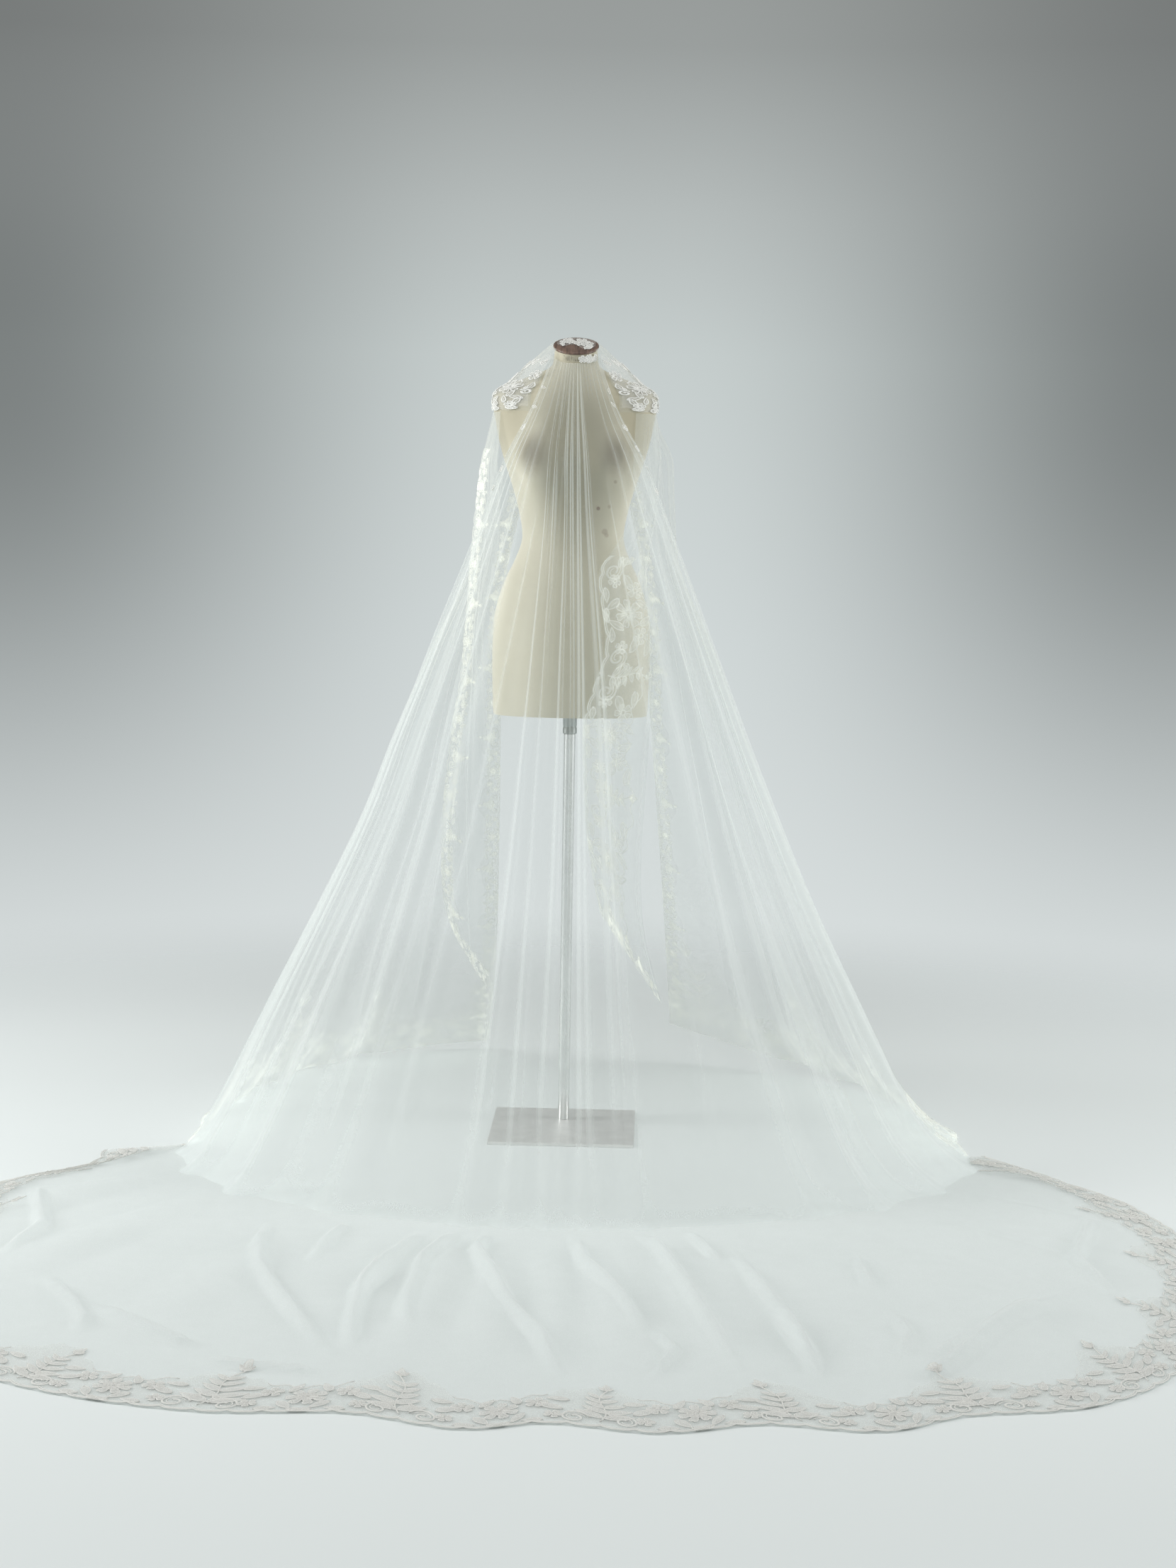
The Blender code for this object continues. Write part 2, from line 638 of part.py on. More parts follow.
def make_side(side, upper, hang, rise, mantle, tulle, lace):
    """Make a side stretch and the lace down its free edge and along its hem."""
    rows = side_rows(upper, side == "left")
    columns = fold_columns(SIDE_FOLDS, 0.0, SIDE_EDGE_COLUMNS[0], SIDE_WIDEST_COLUMN)
    columns += SIDE_EDGE_COLUMNS[1:]
    grid = [[mantle_edge(mantle, hang, across) for across in columns]]
    grid += [[side_point(row, across, rise) for across in columns] for row in rows]
    cloth = make_cloth(grid, None)
    level_rows(cloth, [len(grid) - 2, len(grid) - 1])
    edge_column = len(columns) - len(SIDE_EDGE_COLUMNS)
    hem_row = len(grid) - 1 - HEM_LACE_ROWS

    def laced(j, i):
        """Say whether lace lies on a cell: along the free edge, or along the hem."""
        return j > 0 and i > 0 and (i >= edge_column or j >= hem_row)

    wall_solid(f"veil_{side}_side", cloth, tulle, -TULLE_WALL, 0.0)
    cloth.grid[-1][:] = [low.lerp(high, HEM_LACE_LIFT) for low, high in zip(*cloth.grid[:-3:-1])]
    wall_solid(f"lace_{side}_edge", cloth, lace, LACE_GAP, LACE_GAP + LACE_WALL, keep=laced)


def drape_point(row, across):
    """Return a point of a drape from its outer edge at 0 to its inner edge at 1."""
    outer = Vector((row.outer_x, row.outer_y, row.outer_z))
    inner = Vector((row.inner_x, row.inner_y, row.inner_z))
    return outer.lerp(inner, across) - Vector((0.0, fold_height(DRAPE_FOLDS, across), 0.0))


def make_drape(side, rows, hang, laced, mantle, tulle, lace):
    """Make a drape and the lace on the cells that laced(row, column) names."""
    columns = [i / DRAPE_COLUMNS for i in range(DRAPE_COLUMNS + 1)]
    grid = [[mantle_edge(mantle, hang, across) for across in columns]]
    grid += [[drape_point(row, across) for across in columns] for row in rows]
    cloth = make_cloth(grid, Vector((0.0, -1.0, 0.0)))
    wall_solid(f"veil_{side}_drape", cloth, tulle, -TULLE_WALL, 0.0)
    wall_solid(f"lace_{side}_drape", cloth, lace, LACE_GAP, LACE_GAP + LACE_WALL, keep=laced)


def make_drapes(mantle, tulle, lace):
    """Make both drapes: the left one laced at its outer edge, the right one at its inner edge."""
    left_bottom = len(LEFT_DRAPE_ROWS) - 1
    right_bottom = len(RIGHT_DRAPE_ROWS) - 1

    def left_laced(j, i):
        """Say whether lace lies on a cell of the left drape."""
        return j > 0 and (i < LEFT_DRAPE_LACE or j == left_bottom)

    def right_laced(j, i):
        """Say whether lace lies on a cell of the right drape."""
        inner = i >= DRAPE_COLUMNS - RIGHT_DRAPE_LACE
        return j >= RIGHT_DRAPE_PLAIN_ROWS and (inner or j == right_bottom)

    make_drape("left", LEFT_DRAPE_ROWS, LEFT_DRAPE_HANG, left_laced, mantle, tulle, lace)
    make_drape("right", RIGHT_DRAPE_ROWS, RIGHT_DRAPE_HANG, right_laced, mantle, tulle, lace)


def spread_angles(start):
    """Return the mantle's angles, which run round the back from one front edge to the other."""
    round_back = 2 * math.pi - 2 * start
    return [start + round_back * i / MANTLE_COLUMNS for i in range(MANTLE_COLUMNS + 1)]


def mantle_grid():
    """Return the mantle's outer points: taut from the cap to the shoulders, then down the form."""
    offset = SKIN_GAP + TULLE_WALL
    first, last = MANTLE_FORM_RINGS[0] + 1, MANTLE_FORM_RINGS[-1] - 1
    rings = [FORM_RINGS[index] for index in range(first, last - 1, -1)]
    angles = spread_angles(MANTLE_START_CHEST)
    skin = make_cloth([[form_point(angle, ring) for angle in angles] for ring in rings], None)
    lines = []
    for points, normals in zip(skin.grid[1:-1], skin.normals[1:-1]):
        lines.append([point + normal * offset for point, normal in zip(points, normals)])
    rim_radius = CAP_RADIUS + offset
    rim = [cap_point(angle, rim_radius, CAP_THICKNESS) for angle in spread_angles(MANTLE_START_CAP)]
    if skin.turned:
        rim.reverse()
    grid = []
    for share in MANTLE_TAUT_STEPS:
        line = []
        for i, (start, end) in enumerate(zip(rim, lines[0])):
            pleat = MANTLE_PLEAT * (i % 2) * math.sin(math.pi * share)
            line.append(start.lerp(end, share) + Vector((0.0, 0.0, pleat)))
        grid.append(line)
    return grid + lines


def make_mantle(mantle, tulle, lace):
    """Make the mantle, the lace sprays on its shoulders and the lace round its back."""
    cloth = make_cloth(mantle, None)
    wall_solid("veil_mantle", cloth, tulle, -TULLE_WALL, 0.0)
    sprays = SHOULDER_LACE_COLUMNS
    last = MANTLE_COLUMNS - sprays
    first_right = cloth.grid[0][-1 if cloth.turned else 0].x > 0
    names = ("lace_right_shoulder", "lace_left_shoulder")
    first_name, last_name = names if first_right else names[::-1]
    regions = (
        (first_name, lambda j, i: i < sprays and j >= FRONT_LACE_ROW),
        ("lace_back_collar", lambda j, i: sprays < i < last - 1 and j >= BACK_LACE_ROW),
        (last_name, lambda j, i: i >= last and j >= FRONT_LACE_ROW),
    )
    for name, keep in regions:
        wall_solid(name, cloth, lace, LACE_GAP, LACE_GAP + LACE_WALL, keep=keep)


def make_cap_lace(lace):
    """Make the lace that lies over the back of the cap, with an uneven front edge."""
    level = SEAM_GAP + CAP_THICKNESS + SEAM_GAP
    radius = CAP_RADIUS - CAP_BEVEL - CAP_LACE_INSET
    neck = FORM_RINGS[-1]
    first, last = CAP_LACE_EDGE[0].across, CAP_LACE_EDGE[-1].across
    grid = []
    for j in range(CAP_LACE_ROWS + 1):
        line = []
        for i in range(CAP_LACE_COLUMNS + 1):
            across = first + (last - first) * i / CAP_LACE_COLUMNS
            front = smooth_at(CAP_LACE_EDGE, "across", across).front
            back = radius * math.sqrt(1.0 - across ** 2)
            y = back + (front - back) * j / CAP_LACE_ROWS
            line.append(Vector((across * radius, y, neck.height + neck.tilt * y + level)))
        grid.append(line)
    wall_solid("lace_cap", make_cloth(grid, Vector((0.0, 0.0, 1.0))), lace, 0.0, LACE_WALL)


def main():
    """Build the whole part."""
    clear_scene()
    steel = make_material("satin_steel", (0.62, 0.60, 0.57), 0.38, 1.0)
    dark = make_material("dark_steel", (0.20, 0.22, 0.22), 0.45, 1.0)
    jersey = make_material("cream_jersey", (0.72, 0.66, 0.50), 0.85)
    wood = make_material("brown_wood", (0.20, 0.11, 0.08), 0.50)
    tulle = make_material("white_tulle", (0.86, 0.89, 0.87), 0.70)
    lace = make_material("corded_lace", (0.82, 0.81, 0.76), 0.65)
    make_stand(steel, dark)
    make_form(jersey)
    make_cap(wood)
    make_gather(tulle)
    make_front(tulle, lace)
    mantle = mantle_grid()
    make_side("left", LEFT_UPPER_ROWS, LEFT_SIDE_HANG, HEM_RISE_LEFT, mantle, tulle, lace)
    make_side("right", RIGHT_UPPER_ROWS, RIGHT_SIDE_HANG, HEM_RISE_RIGHT, mantle, tulle, lace)
    make_drapes(mantle, tulle, lace)
    make_mantle(mantle, tulle, lace)
    make_cap_lace(lace)


main()
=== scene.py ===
"""Looks of a cathedral-length bridal veil on a dress form: net, corded lace, jersey, wood and steel.

Metres, +Z up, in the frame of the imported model. The train runs towards -Y, and left and right are those
of someone who looks along +Y.
"""

from __future__ import annotations

import json
import logging
import math
import random
from dataclasses import dataclass, field
from enum import Enum
from typing import Callable, Sequence

import bpy
import numpy as np
from mathutils import Matrix, Vector

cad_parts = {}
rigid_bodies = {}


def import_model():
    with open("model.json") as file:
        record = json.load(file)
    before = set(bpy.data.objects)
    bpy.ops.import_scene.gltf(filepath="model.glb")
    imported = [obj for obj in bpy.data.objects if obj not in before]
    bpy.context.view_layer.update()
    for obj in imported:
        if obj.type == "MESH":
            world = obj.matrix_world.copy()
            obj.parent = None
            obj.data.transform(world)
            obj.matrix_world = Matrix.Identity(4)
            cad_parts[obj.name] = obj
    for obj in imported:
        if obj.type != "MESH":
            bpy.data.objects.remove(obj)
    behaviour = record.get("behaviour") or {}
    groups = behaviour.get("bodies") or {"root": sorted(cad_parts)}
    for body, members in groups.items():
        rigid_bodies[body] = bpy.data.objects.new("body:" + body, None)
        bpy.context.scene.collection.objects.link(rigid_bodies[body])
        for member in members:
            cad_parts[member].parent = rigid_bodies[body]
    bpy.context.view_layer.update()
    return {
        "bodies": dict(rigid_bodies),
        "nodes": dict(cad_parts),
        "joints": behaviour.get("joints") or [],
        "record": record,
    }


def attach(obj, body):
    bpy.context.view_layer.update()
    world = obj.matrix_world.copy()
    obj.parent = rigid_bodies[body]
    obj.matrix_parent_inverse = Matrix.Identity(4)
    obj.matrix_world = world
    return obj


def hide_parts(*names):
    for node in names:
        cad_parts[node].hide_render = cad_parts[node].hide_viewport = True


LOG = logging.getLogger("veil")

# Shared clearances, and how far apart the points of a lace chart lie
SKIN_GAP = 0.0006
NET_WALL = 0.0015
GROUND_LIFT = 0.0006
FLOOR_GAP = 0.0008
CHART_STEP = 0.005
CORD_LIFT = 0.0008

Array = np.ndarray
Material = bpy.types.Material
Piece = bpy.types.Object
Pair = tuple[float, float]
Triple = tuple[float, float, float]
Curve = Callable[[Array], Array]


class LaceLayer(Enum):
    """The three layers that a corded lace is made of."""

    CORD = 0
    PETAL = 1
    GROUND = 2


class Edge(Enum):
    """The edge of a cloth that a lace border follows: its last row, or its first or last column."""

    BOTTOM = "bottom"
    FIRST = "first column"
    LAST = "last column"


# Shader expressions


class Signal:
    """A shader socket that takes part in Python arithmetic by adding Math nodes."""

    def __init__(self, bench: "Bench", socket: bpy.types.NodeSocket) -> None:
        """Keep the socket and the bench that makes further nodes."""
        self.bench = bench
        self.socket = socket

    def _math(self, operation: str, first: object, second: object) -> "Signal":
        """Add one Math node.

        Args:
            operation: The node's operation.
            first: Its first value or signal.
            second: Its second value or signal.

        Returns:
            The node's result.
        """
        return self.bench.result("Math", 0, {0: first, 1: second}, {"operation": operation})

    def __add__(self, other: object) -> "Signal":
        """Return the sum."""
        return self._math("ADD", self, other)

    __radd__ = __add__

    def __sub__(self, other: object) -> "Signal":
        """Return the difference."""
        return self._math("SUBTRACT", self, other)

    def __rsub__(self, other: object) -> "Signal":
        """Return the difference, this signal second."""
        return self._math("SUBTRACT", other, self)

    def __mul__(self, other: object) -> "Signal":
        """Return the product."""
        return self._math("MULTIPLY", self, other)

    __rmul__ = __mul__

    def __truediv__(self, other: object) -> "Signal":
        """Return the quotient."""
        return self._math("DIVIDE", self, other)

    def __rtruediv__(self, other: object) -> "Signal":
        """Return the quotient, this signal second."""
        return self._math("DIVIDE", other, self)

    def __pow__(self, other: object) -> "Signal":
        """Return the power."""
        return self._math("POWER", self, other)

    def at_least(self, low: float) -> "Signal":
        """Return the larger of the signal and a number."""
        return self._math("MAXIMUM", self, low)

    def sized(self) -> "Signal":
        """Return the signal's size without its sign."""
        return self._math("ABSOLUTE", self, 0.0)

    def cosine(self) -> "Signal":
        """Return the cosine of an angle in radians."""
        return self._math("COSINE", self, 0.0)

    def step(self, low: float, high: float) -> "Signal":
        """Return a smooth step from 0 at low to 1 at high."""
        inputs = {"Value": self, "From Min": low, "From Max": high}
        return self.bench.result("MapRange", "Result", inputs, {"interpolation_type": "SMOOTHSTEP"})


class Bench:
    """Makes the nodes of one material or world."""

    def __init__(self, tree: bpy.types.NodeTree) -> None:
        """Empty the tree and keep it."""
        tree.nodes.clear()
        self.tree = tree

    def node(self, kind: str, settings: dict | None = None, inputs: dict | None = None) -> bpy.types.Node:
        """Add a node.

        Args:
            kind: The node's type, without the prefix that all shader nodes share.
            settings: Its own settings, set first; a ramp's are its stops.
            inputs: Values or signals for its sockets, by name or number.

        Returns:
            The node.
        """
        made = self.tree.nodes.new(f"ShaderNode{kind}")
        for name, value in (settings or {}).items():
            if name == "stops":
                self._set_stops(made, value)
            else:
                setattr(made, name, value)
        for name, value in (inputs or {}).items():
            self.feed(made.inputs[name], value)
        return made

    def result(
        self, kind: str, output: str | int, inputs: dict | None = None, settings: dict | None = None,
    ) -> Signal:
        """Add a node and return one of its outputs."""
        return Signal(self, self.node(kind, settings, inputs).outputs[output])

    def feed(self, socket: bpy.types.NodeSocket, value: object) -> None:
        """Link a signal to a socket, or set the socket's own value.

        Args:
            socket: The socket.
            value: The signal or value.
        """
        if isinstance(value, Signal):
            self.tree.links.new(value.socket, socket)
        else:
            socket.default_value = value

    @staticmethod
    def _set_stops(ramp: bpy.types.Node, stops: Sequence[tuple[float, Triple]]) -> None:
        """Give a colour ramp its stops.

        Args:
            ramp: The ramp's node.
            stops: The place and colour of each stop.
        """
        elements = ramp.color_ramp.elements
        while len(elements) < len(stops):
            elements.new(1.0)
        for element, (place, colour) in zip(elements, stops):
            element.position = place
            element.color = (*colour, 1.0)

    def place(self) -> Signal:
        """Return the place in the part's own frame, in metres."""
        return self.result("TexCoord", "Object")

    def flat_place(self) -> Signal:
        """Return the place on the laid-out cloth, in metres."""
        return self.result("TexCoord", "UV")

    def split(self, vector: Signal) -> tuple[Signal, Signal, Signal]:
        """Return a vector's three parts."""
        node = self.node("SeparateXYZ", None, {"Vector": vector})
        return tuple(Signal(self, socket) for socket in node.outputs)

    def noise(self, place: Signal, scale: float, detail: float = 2.0) -> Signal:
        """Return soft noise from 0 to 1."""
        return self.result("TexNoise", "Fac", {"Vector": place, "Scale": scale, "Detail": detail})

    def cells(self, place: Signal, scale: float) -> Signal:
        """Return the distance to the nearest wall of a net of cells."""
        inputs = {"Vector": place, "Scale": scale}
        return self.result("TexVoronoi", "Distance", inputs, {"feature": "DISTANCE_TO_EDGE"})

    def stretch(self, place: Signal, size: Triple) -> Signal:
        """Return a place scaled along each axis."""
        return self.result("VectorMath", 0, {0: place, 1: size}, {"operation": "MULTIPLY"})

    def distance(self, place: Signal, centre: Triple) -> Signal:
        """Return the distance from a point."""
        return self.result("VectorMath", "Value", {0: place, 1: centre}, {"operation": "DISTANCE"})

    def blend(self, share: object, first: object, second: object) -> Signal:
        """Mix two colours.

        Args:
            share: The share of the second colour.
            first: A colour or a signal.
            second: Another.

        Returns:
            The mixed colour.
        """
        node = self.node("Mix", {"data_type": "RGBA"})
        self.feed(node.inputs[0], share)
        for socket, value in zip((node.inputs[6], node.inputs[7]), (first, second)):
            self.feed(socket, value if isinstance(value, Signal) else (*value, 1.0))
        return Signal(self, node.outputs[2])

    def bump(self, height: Signal, distance: float, strength: float = 1.0) -> Signal:
        """Return a normal that a height disturbs."""
        return self.result("Bump", "Normal", {"Height": height, "Distance": distance, "Strength": strength})

    def shader(self, kind: str, inputs: dict) -> Signal:
        """Return the result of a shader node."""
        return self.result(kind, 0, inputs)

    def mix_shaders(self, share: object, first: Signal, second: Signal) -> Signal:
        """Return a mix of two shaders."""
        return self.shader("MixShader", {0: share, 1: first, 2: second})

    def finish(self, surface: Signal) -> None:
        """Connect the surface to the material's output."""
        self.node("OutputMaterial", None, {"Surface": surface})

    def finish_solid(self, inputs: dict) -> None:
        """Finish a material that one shader with these inputs covers."""
        self.finish(self.shader("BsdfPrincipled", inputs))

    def finish_sheer(self, inputs: dict, tint: Triple, glow: float) -> None:
        """Finish a cloth that lets light and sight through.

        Args:
            inputs: The inputs of its lit side, with its Alpha.
            tint: The colour of light that comes through its threads.
            glow: The share of light that does.
        """
        cloth = self.shader("BsdfPrincipled", inputs)
        clear = self.shader("BsdfTransparent", {})
        lit_through = self.shader("BsdfTranslucent", {"Color": (*tint, 1.0)})
        back = self.mix_shaders(inputs["Alpha"], clear, lit_through)
        self.finish(self.mix_shaders(glow, cloth, back))


def start_material(name: str) -> tuple[Material, Bench]:
    """Start a material with an empty tree.

    Args:
        name: The material's name.

    Returns:
        The material and its bench.
    """
    material = bpy.data.materials.new(name)
    material.use_nodes = True
    return material, Bench(material.node_tree)


# Finishes


@dataclass(frozen=True)
class NetFinish:
    """Fine white net that looks denser where it turns away from the eye."""

    name: str = "white_net"
    colour: Triple = (0.86, 0.9, 0.885)
    shade: Triple = (0.8, 0.845, 0.83)
    cover: float = 0.205
    least_facing: float = 0.38
    cell_scale: float = 520.0
    cell_share: float = 0.05
    glow: float = 0.45
    roughness: float = 0.75
    fade: Pair | None = None

    def make(self) -> Material:
        """Build the net's material.

        Returns:
            The material.
        """
        material, bench = start_material(self.name)
        place = bench.place()
        drift = bench.noise(place, 7.0, 3.0)
        threads = 1 - bench.cells(place, self.cell_scale).step(0.02, 0.28)
        cover = self.cover * (0.85 + 0.3 * drift) * (1 - self.cell_share + 2 * self.cell_share * threads)
        away = bench.result("LayerWeight", "Facing", {"Blend": 0.5})
        facing = (1 - away).at_least(self.least_facing)
        alpha = 1 - (1 - cover) ** (1 / facing)
        if self.fade:
            _, down, _ = bench.split(bench.flat_place())
            alpha = alpha * (1 - 0.85 * down.step(*self.fade))
        colour = bench.blend(drift, self.colour, self.shade)
        inputs = {"Base Color": colour, "Roughness": self.roughness, "Alpha": alpha, "Sheen Weight": 0.25}
        bench.finish_sheer(inputs, self.colour, self.glow)
        return material


@dataclass(frozen=True)
class GatherFinish:
    """Net drawn up into close gathers, with painted shade in the grooves between them."""

    name: str = "gathered_net"
    colour: Triple = (0.8, 0.79, 0.72)
    # Colour of the painted shade in the grooves
    groove: Triple = (0.1, 0.09, 0.065)
    pitch: float = 0.00618

    def make(self) -> Material:
        """Build the gathers' material.

        Returns:
            The material.
        """
        material, bench = start_material(self.name)
        along, up, _ = bench.split(bench.flat_place())
        # Painted shade in the grooves between the gathers, which are also made nearly opaque there
        wave = 0.5 + 0.5 * (along * (2 * math.pi / self.pitch)).cosine()
        depth = 0.25 + 0.75 * bench.noise(bench.place(), 95.0, 1.0).step(0.4, 0.58)
        groove = wave.step(0.55, 0.95) * up.step(0.0015, 0.004) * depth
        inputs = {
            "Base Color": bench.blend(groove, self.colour, self.groove),
            "Roughness": 0.8,
            "Alpha": 0.04 + 0.9 * groove,
        }
        bench.finish_solid(inputs)
        return material


@dataclass(frozen=True)
class LaceFinish:
    """Corded lace: plied cord, close petals or a light ground, by its layer."""

    layer: LaceLayer
    hang: str = "lying"
    glow: float = 0.12
    petal_cover: Pair = (0.4, 0.42)
    cord_cover: float = 1.0
    colour: Triple = (0.9, 0.9, 0.87)
    shade: Triple = (0.82, 0.82, 0.78)
    ground_cover: Pair = (0.07, 0.22)

    def make(self) -> Material:
        """Build the material of this layer.

        Returns:
            The material.
        """
        material, bench = start_material(f"{self.hang}_lace_{self.layer.name.lower()}")
        place = bench.place()
        drift = bench.noise(place, 16.0, 3.0)
        colour = bench.blend(drift, self.colour, self.shade)
        inputs = {"Base Color": colour, "Roughness": 0.62, "Sheen Weight": 0.2}
        if self.layer is LaceLayer.CORD:
            ply = bench.noise(bench.stretch(place, (1.0, 1.0, 1.6)), 900.0, 1.0)
            alpha = self.cord_cover * (0.9 + 0.1 * drift)
            inputs["Normal"] = bench.bump(ply, 0.0004, 0.4)
        else:
            weave = bench.cells(place, 620.0 if self.layer is LaceLayer.PETAL else 380.0)
            threads = 1 - weave.step(0.03, 0.3)
            dense, open_share = self.petal_cover if self.layer is LaceLayer.PETAL else self.ground_cover
            alpha = dense + open_share * threads * (0.6 + 0.6 * drift)
            inputs["Normal"] = bench.bump(threads, 0.0003, 0.15)
        inputs["Alpha"] = alpha
        bench.finish_sheer(inputs, self.colour, self.glow)
        return material


@dataclass(frozen=True)
class Stain:
    """A soft brown spot on the jersey."""

    across: float
    height: float
    radius: float
    strength: float


@dataclass(frozen=True)
class JerseyFinish:
    """Cream knit jersey with painted shade down its front and on its shoulders, painted shadows under its
    bust, and small brown stains.
    """

    name: str = "cream_jersey"
    colour: Triple = (0.72, 0.685, 0.555)
    shade: Triple = (0.62, 0.575, 0.44)
    # Colour of the painted shade over the chest, down the middle and on the shoulders
    painted_shade: Triple = (0.215, 0.19, 0.108)
    # Colour of the painted shadows under the bust
    bust_shadow: Triple = (0.145, 0.118, 0.066)
    brown: Triple = (0.12, 0.055, 0.02)
    front: float = -0.125
    # Height, reach, strength and upright squash of the painted shade over the chest
    chest_height: float = 1.42
    chest_reach: Pair = (0.035, 0.118)
    chest_shade_strength: float = 0.88
    upright: float = 0.42
    # Place, reach and strength of the painted shade down the middle of the front
    middle_aside: float = 0.045
    middle_reach: Pair = (0.03, 0.165)
    middle_shade_strength: float = 0.5
    # Place, reach, strength and upright squash of the painted shadows under the bust
    bust_place: Pair = (0.084, 1.405)
    bust_reach: Pair = (0.004, 0.046)
    bust_shadow_strength: float = 0.88
    bust_upright: float = 0.8
    # Strength of the painted shade on the shoulders
    shoulder_shade_strength: float = 0.45
    stains: tuple[Stain, ...] = (
        Stain(0.051, 1.296, 0.005, 0.95),
        Stain(0.085, 1.35, 0.0045, 0.45),
        Stain(0.074, 1.3, 0.005, 0.35),
        Stain(0.065, 1.249, 0.008, 0.4),
        Stain(0.069, 1.242, 0.006, 0.35),
    )

    def make(self) -> Material:
        """Build the jersey's material.

        Returns:
            The material.
        """
        material, bench = start_material(self.name)
        place = bench.place()
        drift = bench.noise(place, 5.0, 4.0)
        colour = bench.blend(drift, self.colour, self.shade)
        across, deep, height = bench.split(place)
        forward = 1 - deep.step(-0.1, 0.02)
        # Painted shade over the chest, darkest at its middle
        flat = bench.stretch(place, (1.0, 0.0, self.upright))
        centre = (0.0, 0.0, self.chest_height * self.upright)
        chest_shade = 1 - bench.distance(flat, centre).step(*self.chest_reach)
        colour = bench.blend(chest_shade * forward * self.chest_shade_strength, colour, self.painted_shade)
        # Painted shade down the middle of the front
        middle = 1 - (across - self.middle_aside).sized().step(*self.middle_reach)
        colour = bench.blend(middle * forward * self.middle_shade_strength, colour, self.painted_shade)
        # Painted shadows under both sides of the bust
        aside, up = self.bust_place
        for way in (-1.0, 1.0):
            under = bench.stretch(place, (1.0, 0.0, self.bust_upright))
            centre = (way * aside, 0.0, up * self.bust_upright)
            spot = 1 - bench.distance(under, centre).step(*self.bust_reach)
            colour = bench.blend(spot * forward * self.bust_shadow_strength, colour, self.bust_shadow)
        # Painted shade on the shoulders, under the lace sprays
        shoulder = across.sized().step(0.075, 0.12) * height.step(1.33, 1.45)
        colour = bench.blend(shoulder * self.shoulder_shade_strength, colour, self.painted_shade)
        for stain in self.stains:
            reach = bench.distance(place, (stain.across, self.front, stain.height))
            side = ((across - stain.across) ** 2 + (height - stain.height) ** 2) ** 0.5
            spot = 1 - (side / stain.radius).step(0.5, 1.0)
            near = 1 - reach.step(0.06, 0.08)
            colour = bench.blend(spot * near * stain.strength, colour, self.brown)
        knit = bench.cells(bench.stretch(place, (1.0, 1.0, 0.7)), 700.0)
        normal = bench.bump(knit, 0.0006, 0.5)
        inputs = {"Base Color": colour, "Roughness": 0.85, "Normal": normal, "Sheen Weight": 0.3}
        bench.finish_solid(inputs)
        return material


@dataclass(frozen=True)
class WoodFinish:
    """Dark brown turned wood with fine straight grain."""

    name: str = "neck_wood"
    light: Triple = (0.175, 0.105, 0.075)
    dark: Triple = (0.075, 0.042, 0.03)

    def make(self) -> Material:
        """Build the wood's material.

        Returns:
            The material.
        """
        material, bench = start_material(self.name)
        grain = bench.noise(bench.stretch(bench.place(), (260.0, 14.0, 60.0)), 1.0, 5.0)
        colour = bench.blend(grain.step(0.35, 0.7), self.light, self.dark)
        inputs = {
            "Base Color": colour,
            "Roughness": 0.42 + 0.2 * grain,
            "Normal": bench.bump(grain, 0.0003, 0.5),
            "Coat Weight": 0.15,
        }
        bench.finish_solid(inputs)
        return material


@dataclass(frozen=True)
class SteelFinish:
    """Satin steel, brushed along one direction."""

    name: str
    colour: Triple
    roughness: float
    brush: Triple
    metallic: float = 1.0

    def make(self) -> Material:
        """Build the steel's material.

        Returns:
            The material.
        """
        material, bench = start_material(self.name)
        place = bench.place()
        lines = bench.noise(bench.stretch(place, self.brush), 1.0, 3.0)
        wear = bench.noise(place, 22.0, 4.0)
        darker = tuple(part * 0.72 for part in self.colour)
        inputs = {
            "Base Color": bench.blend(wear, self.colour, darker),
            "Roughness": self.roughness + 0.14 * (lines - 0.5) + 0.08 * wear,
            "Metallic": self.metallic,
            "Normal": bench.bump(lines, 0.0002, 0.35),
        }
        bench.finish_solid(inputs)
        return material


class Wardrobe:
    """All finishes of the object, made once."""

    def __init__(self) -> None:
        """Make each finish."""
        self.net = NetFinish().make()
        self.mantle_net = NetFinish("shoulder_net", fade=(0.12, 0.186)).make()
        self.train_net = NetFinish("lying_net", (0.88, 0.905, 0.895), (0.84, 0.87, 0.86), 0.38, 0.6).make()
        self.gathers = GatherFinish().make()
        self.lying_lace = self._laces()
        self.hanging_lace = self._laces(
            hang="hanging", glow=0.48, petal_cover=(0.16, 0.18), cord_cover=0.44, ground_cover=(0.05, 0.14),
            colour=(0.91, 0.92, 0.88), shade=(0.86, 0.87, 0.83),
        )
        self.shoulder_lace = self._laces(hang="shoulder", glow=0.06, petal_cover=(0.07, 0.14))
        self.jersey = JerseyFinish().make()
        self.wood = WoodFinish().make()
        self.steel = SteelFinish("plate_steel", (0.93, 0.93, 0.91), 0.42, (8.0, 420.0, 60.0), 0.55).make()
        self.pole_steel = SteelFinish("pole_steel", (0.9, 0.91, 0.9), 0.22, (240.0, 240.0, 6.0)).make()
        self.dark_steel = SteelFinish("dark_steel", (0.34, 0.37, 0.36), 0.36, (90.0, 90.0, 300.0)).make()

    @staticmethod
    def _laces(**choices: object) -> list[Material]:
        """Return the three finishes of a lace, in the order of its layers."""
        return [LaceFinish(layer, **choices).make() for layer in LaceLayer]


# Smooth tables and grids


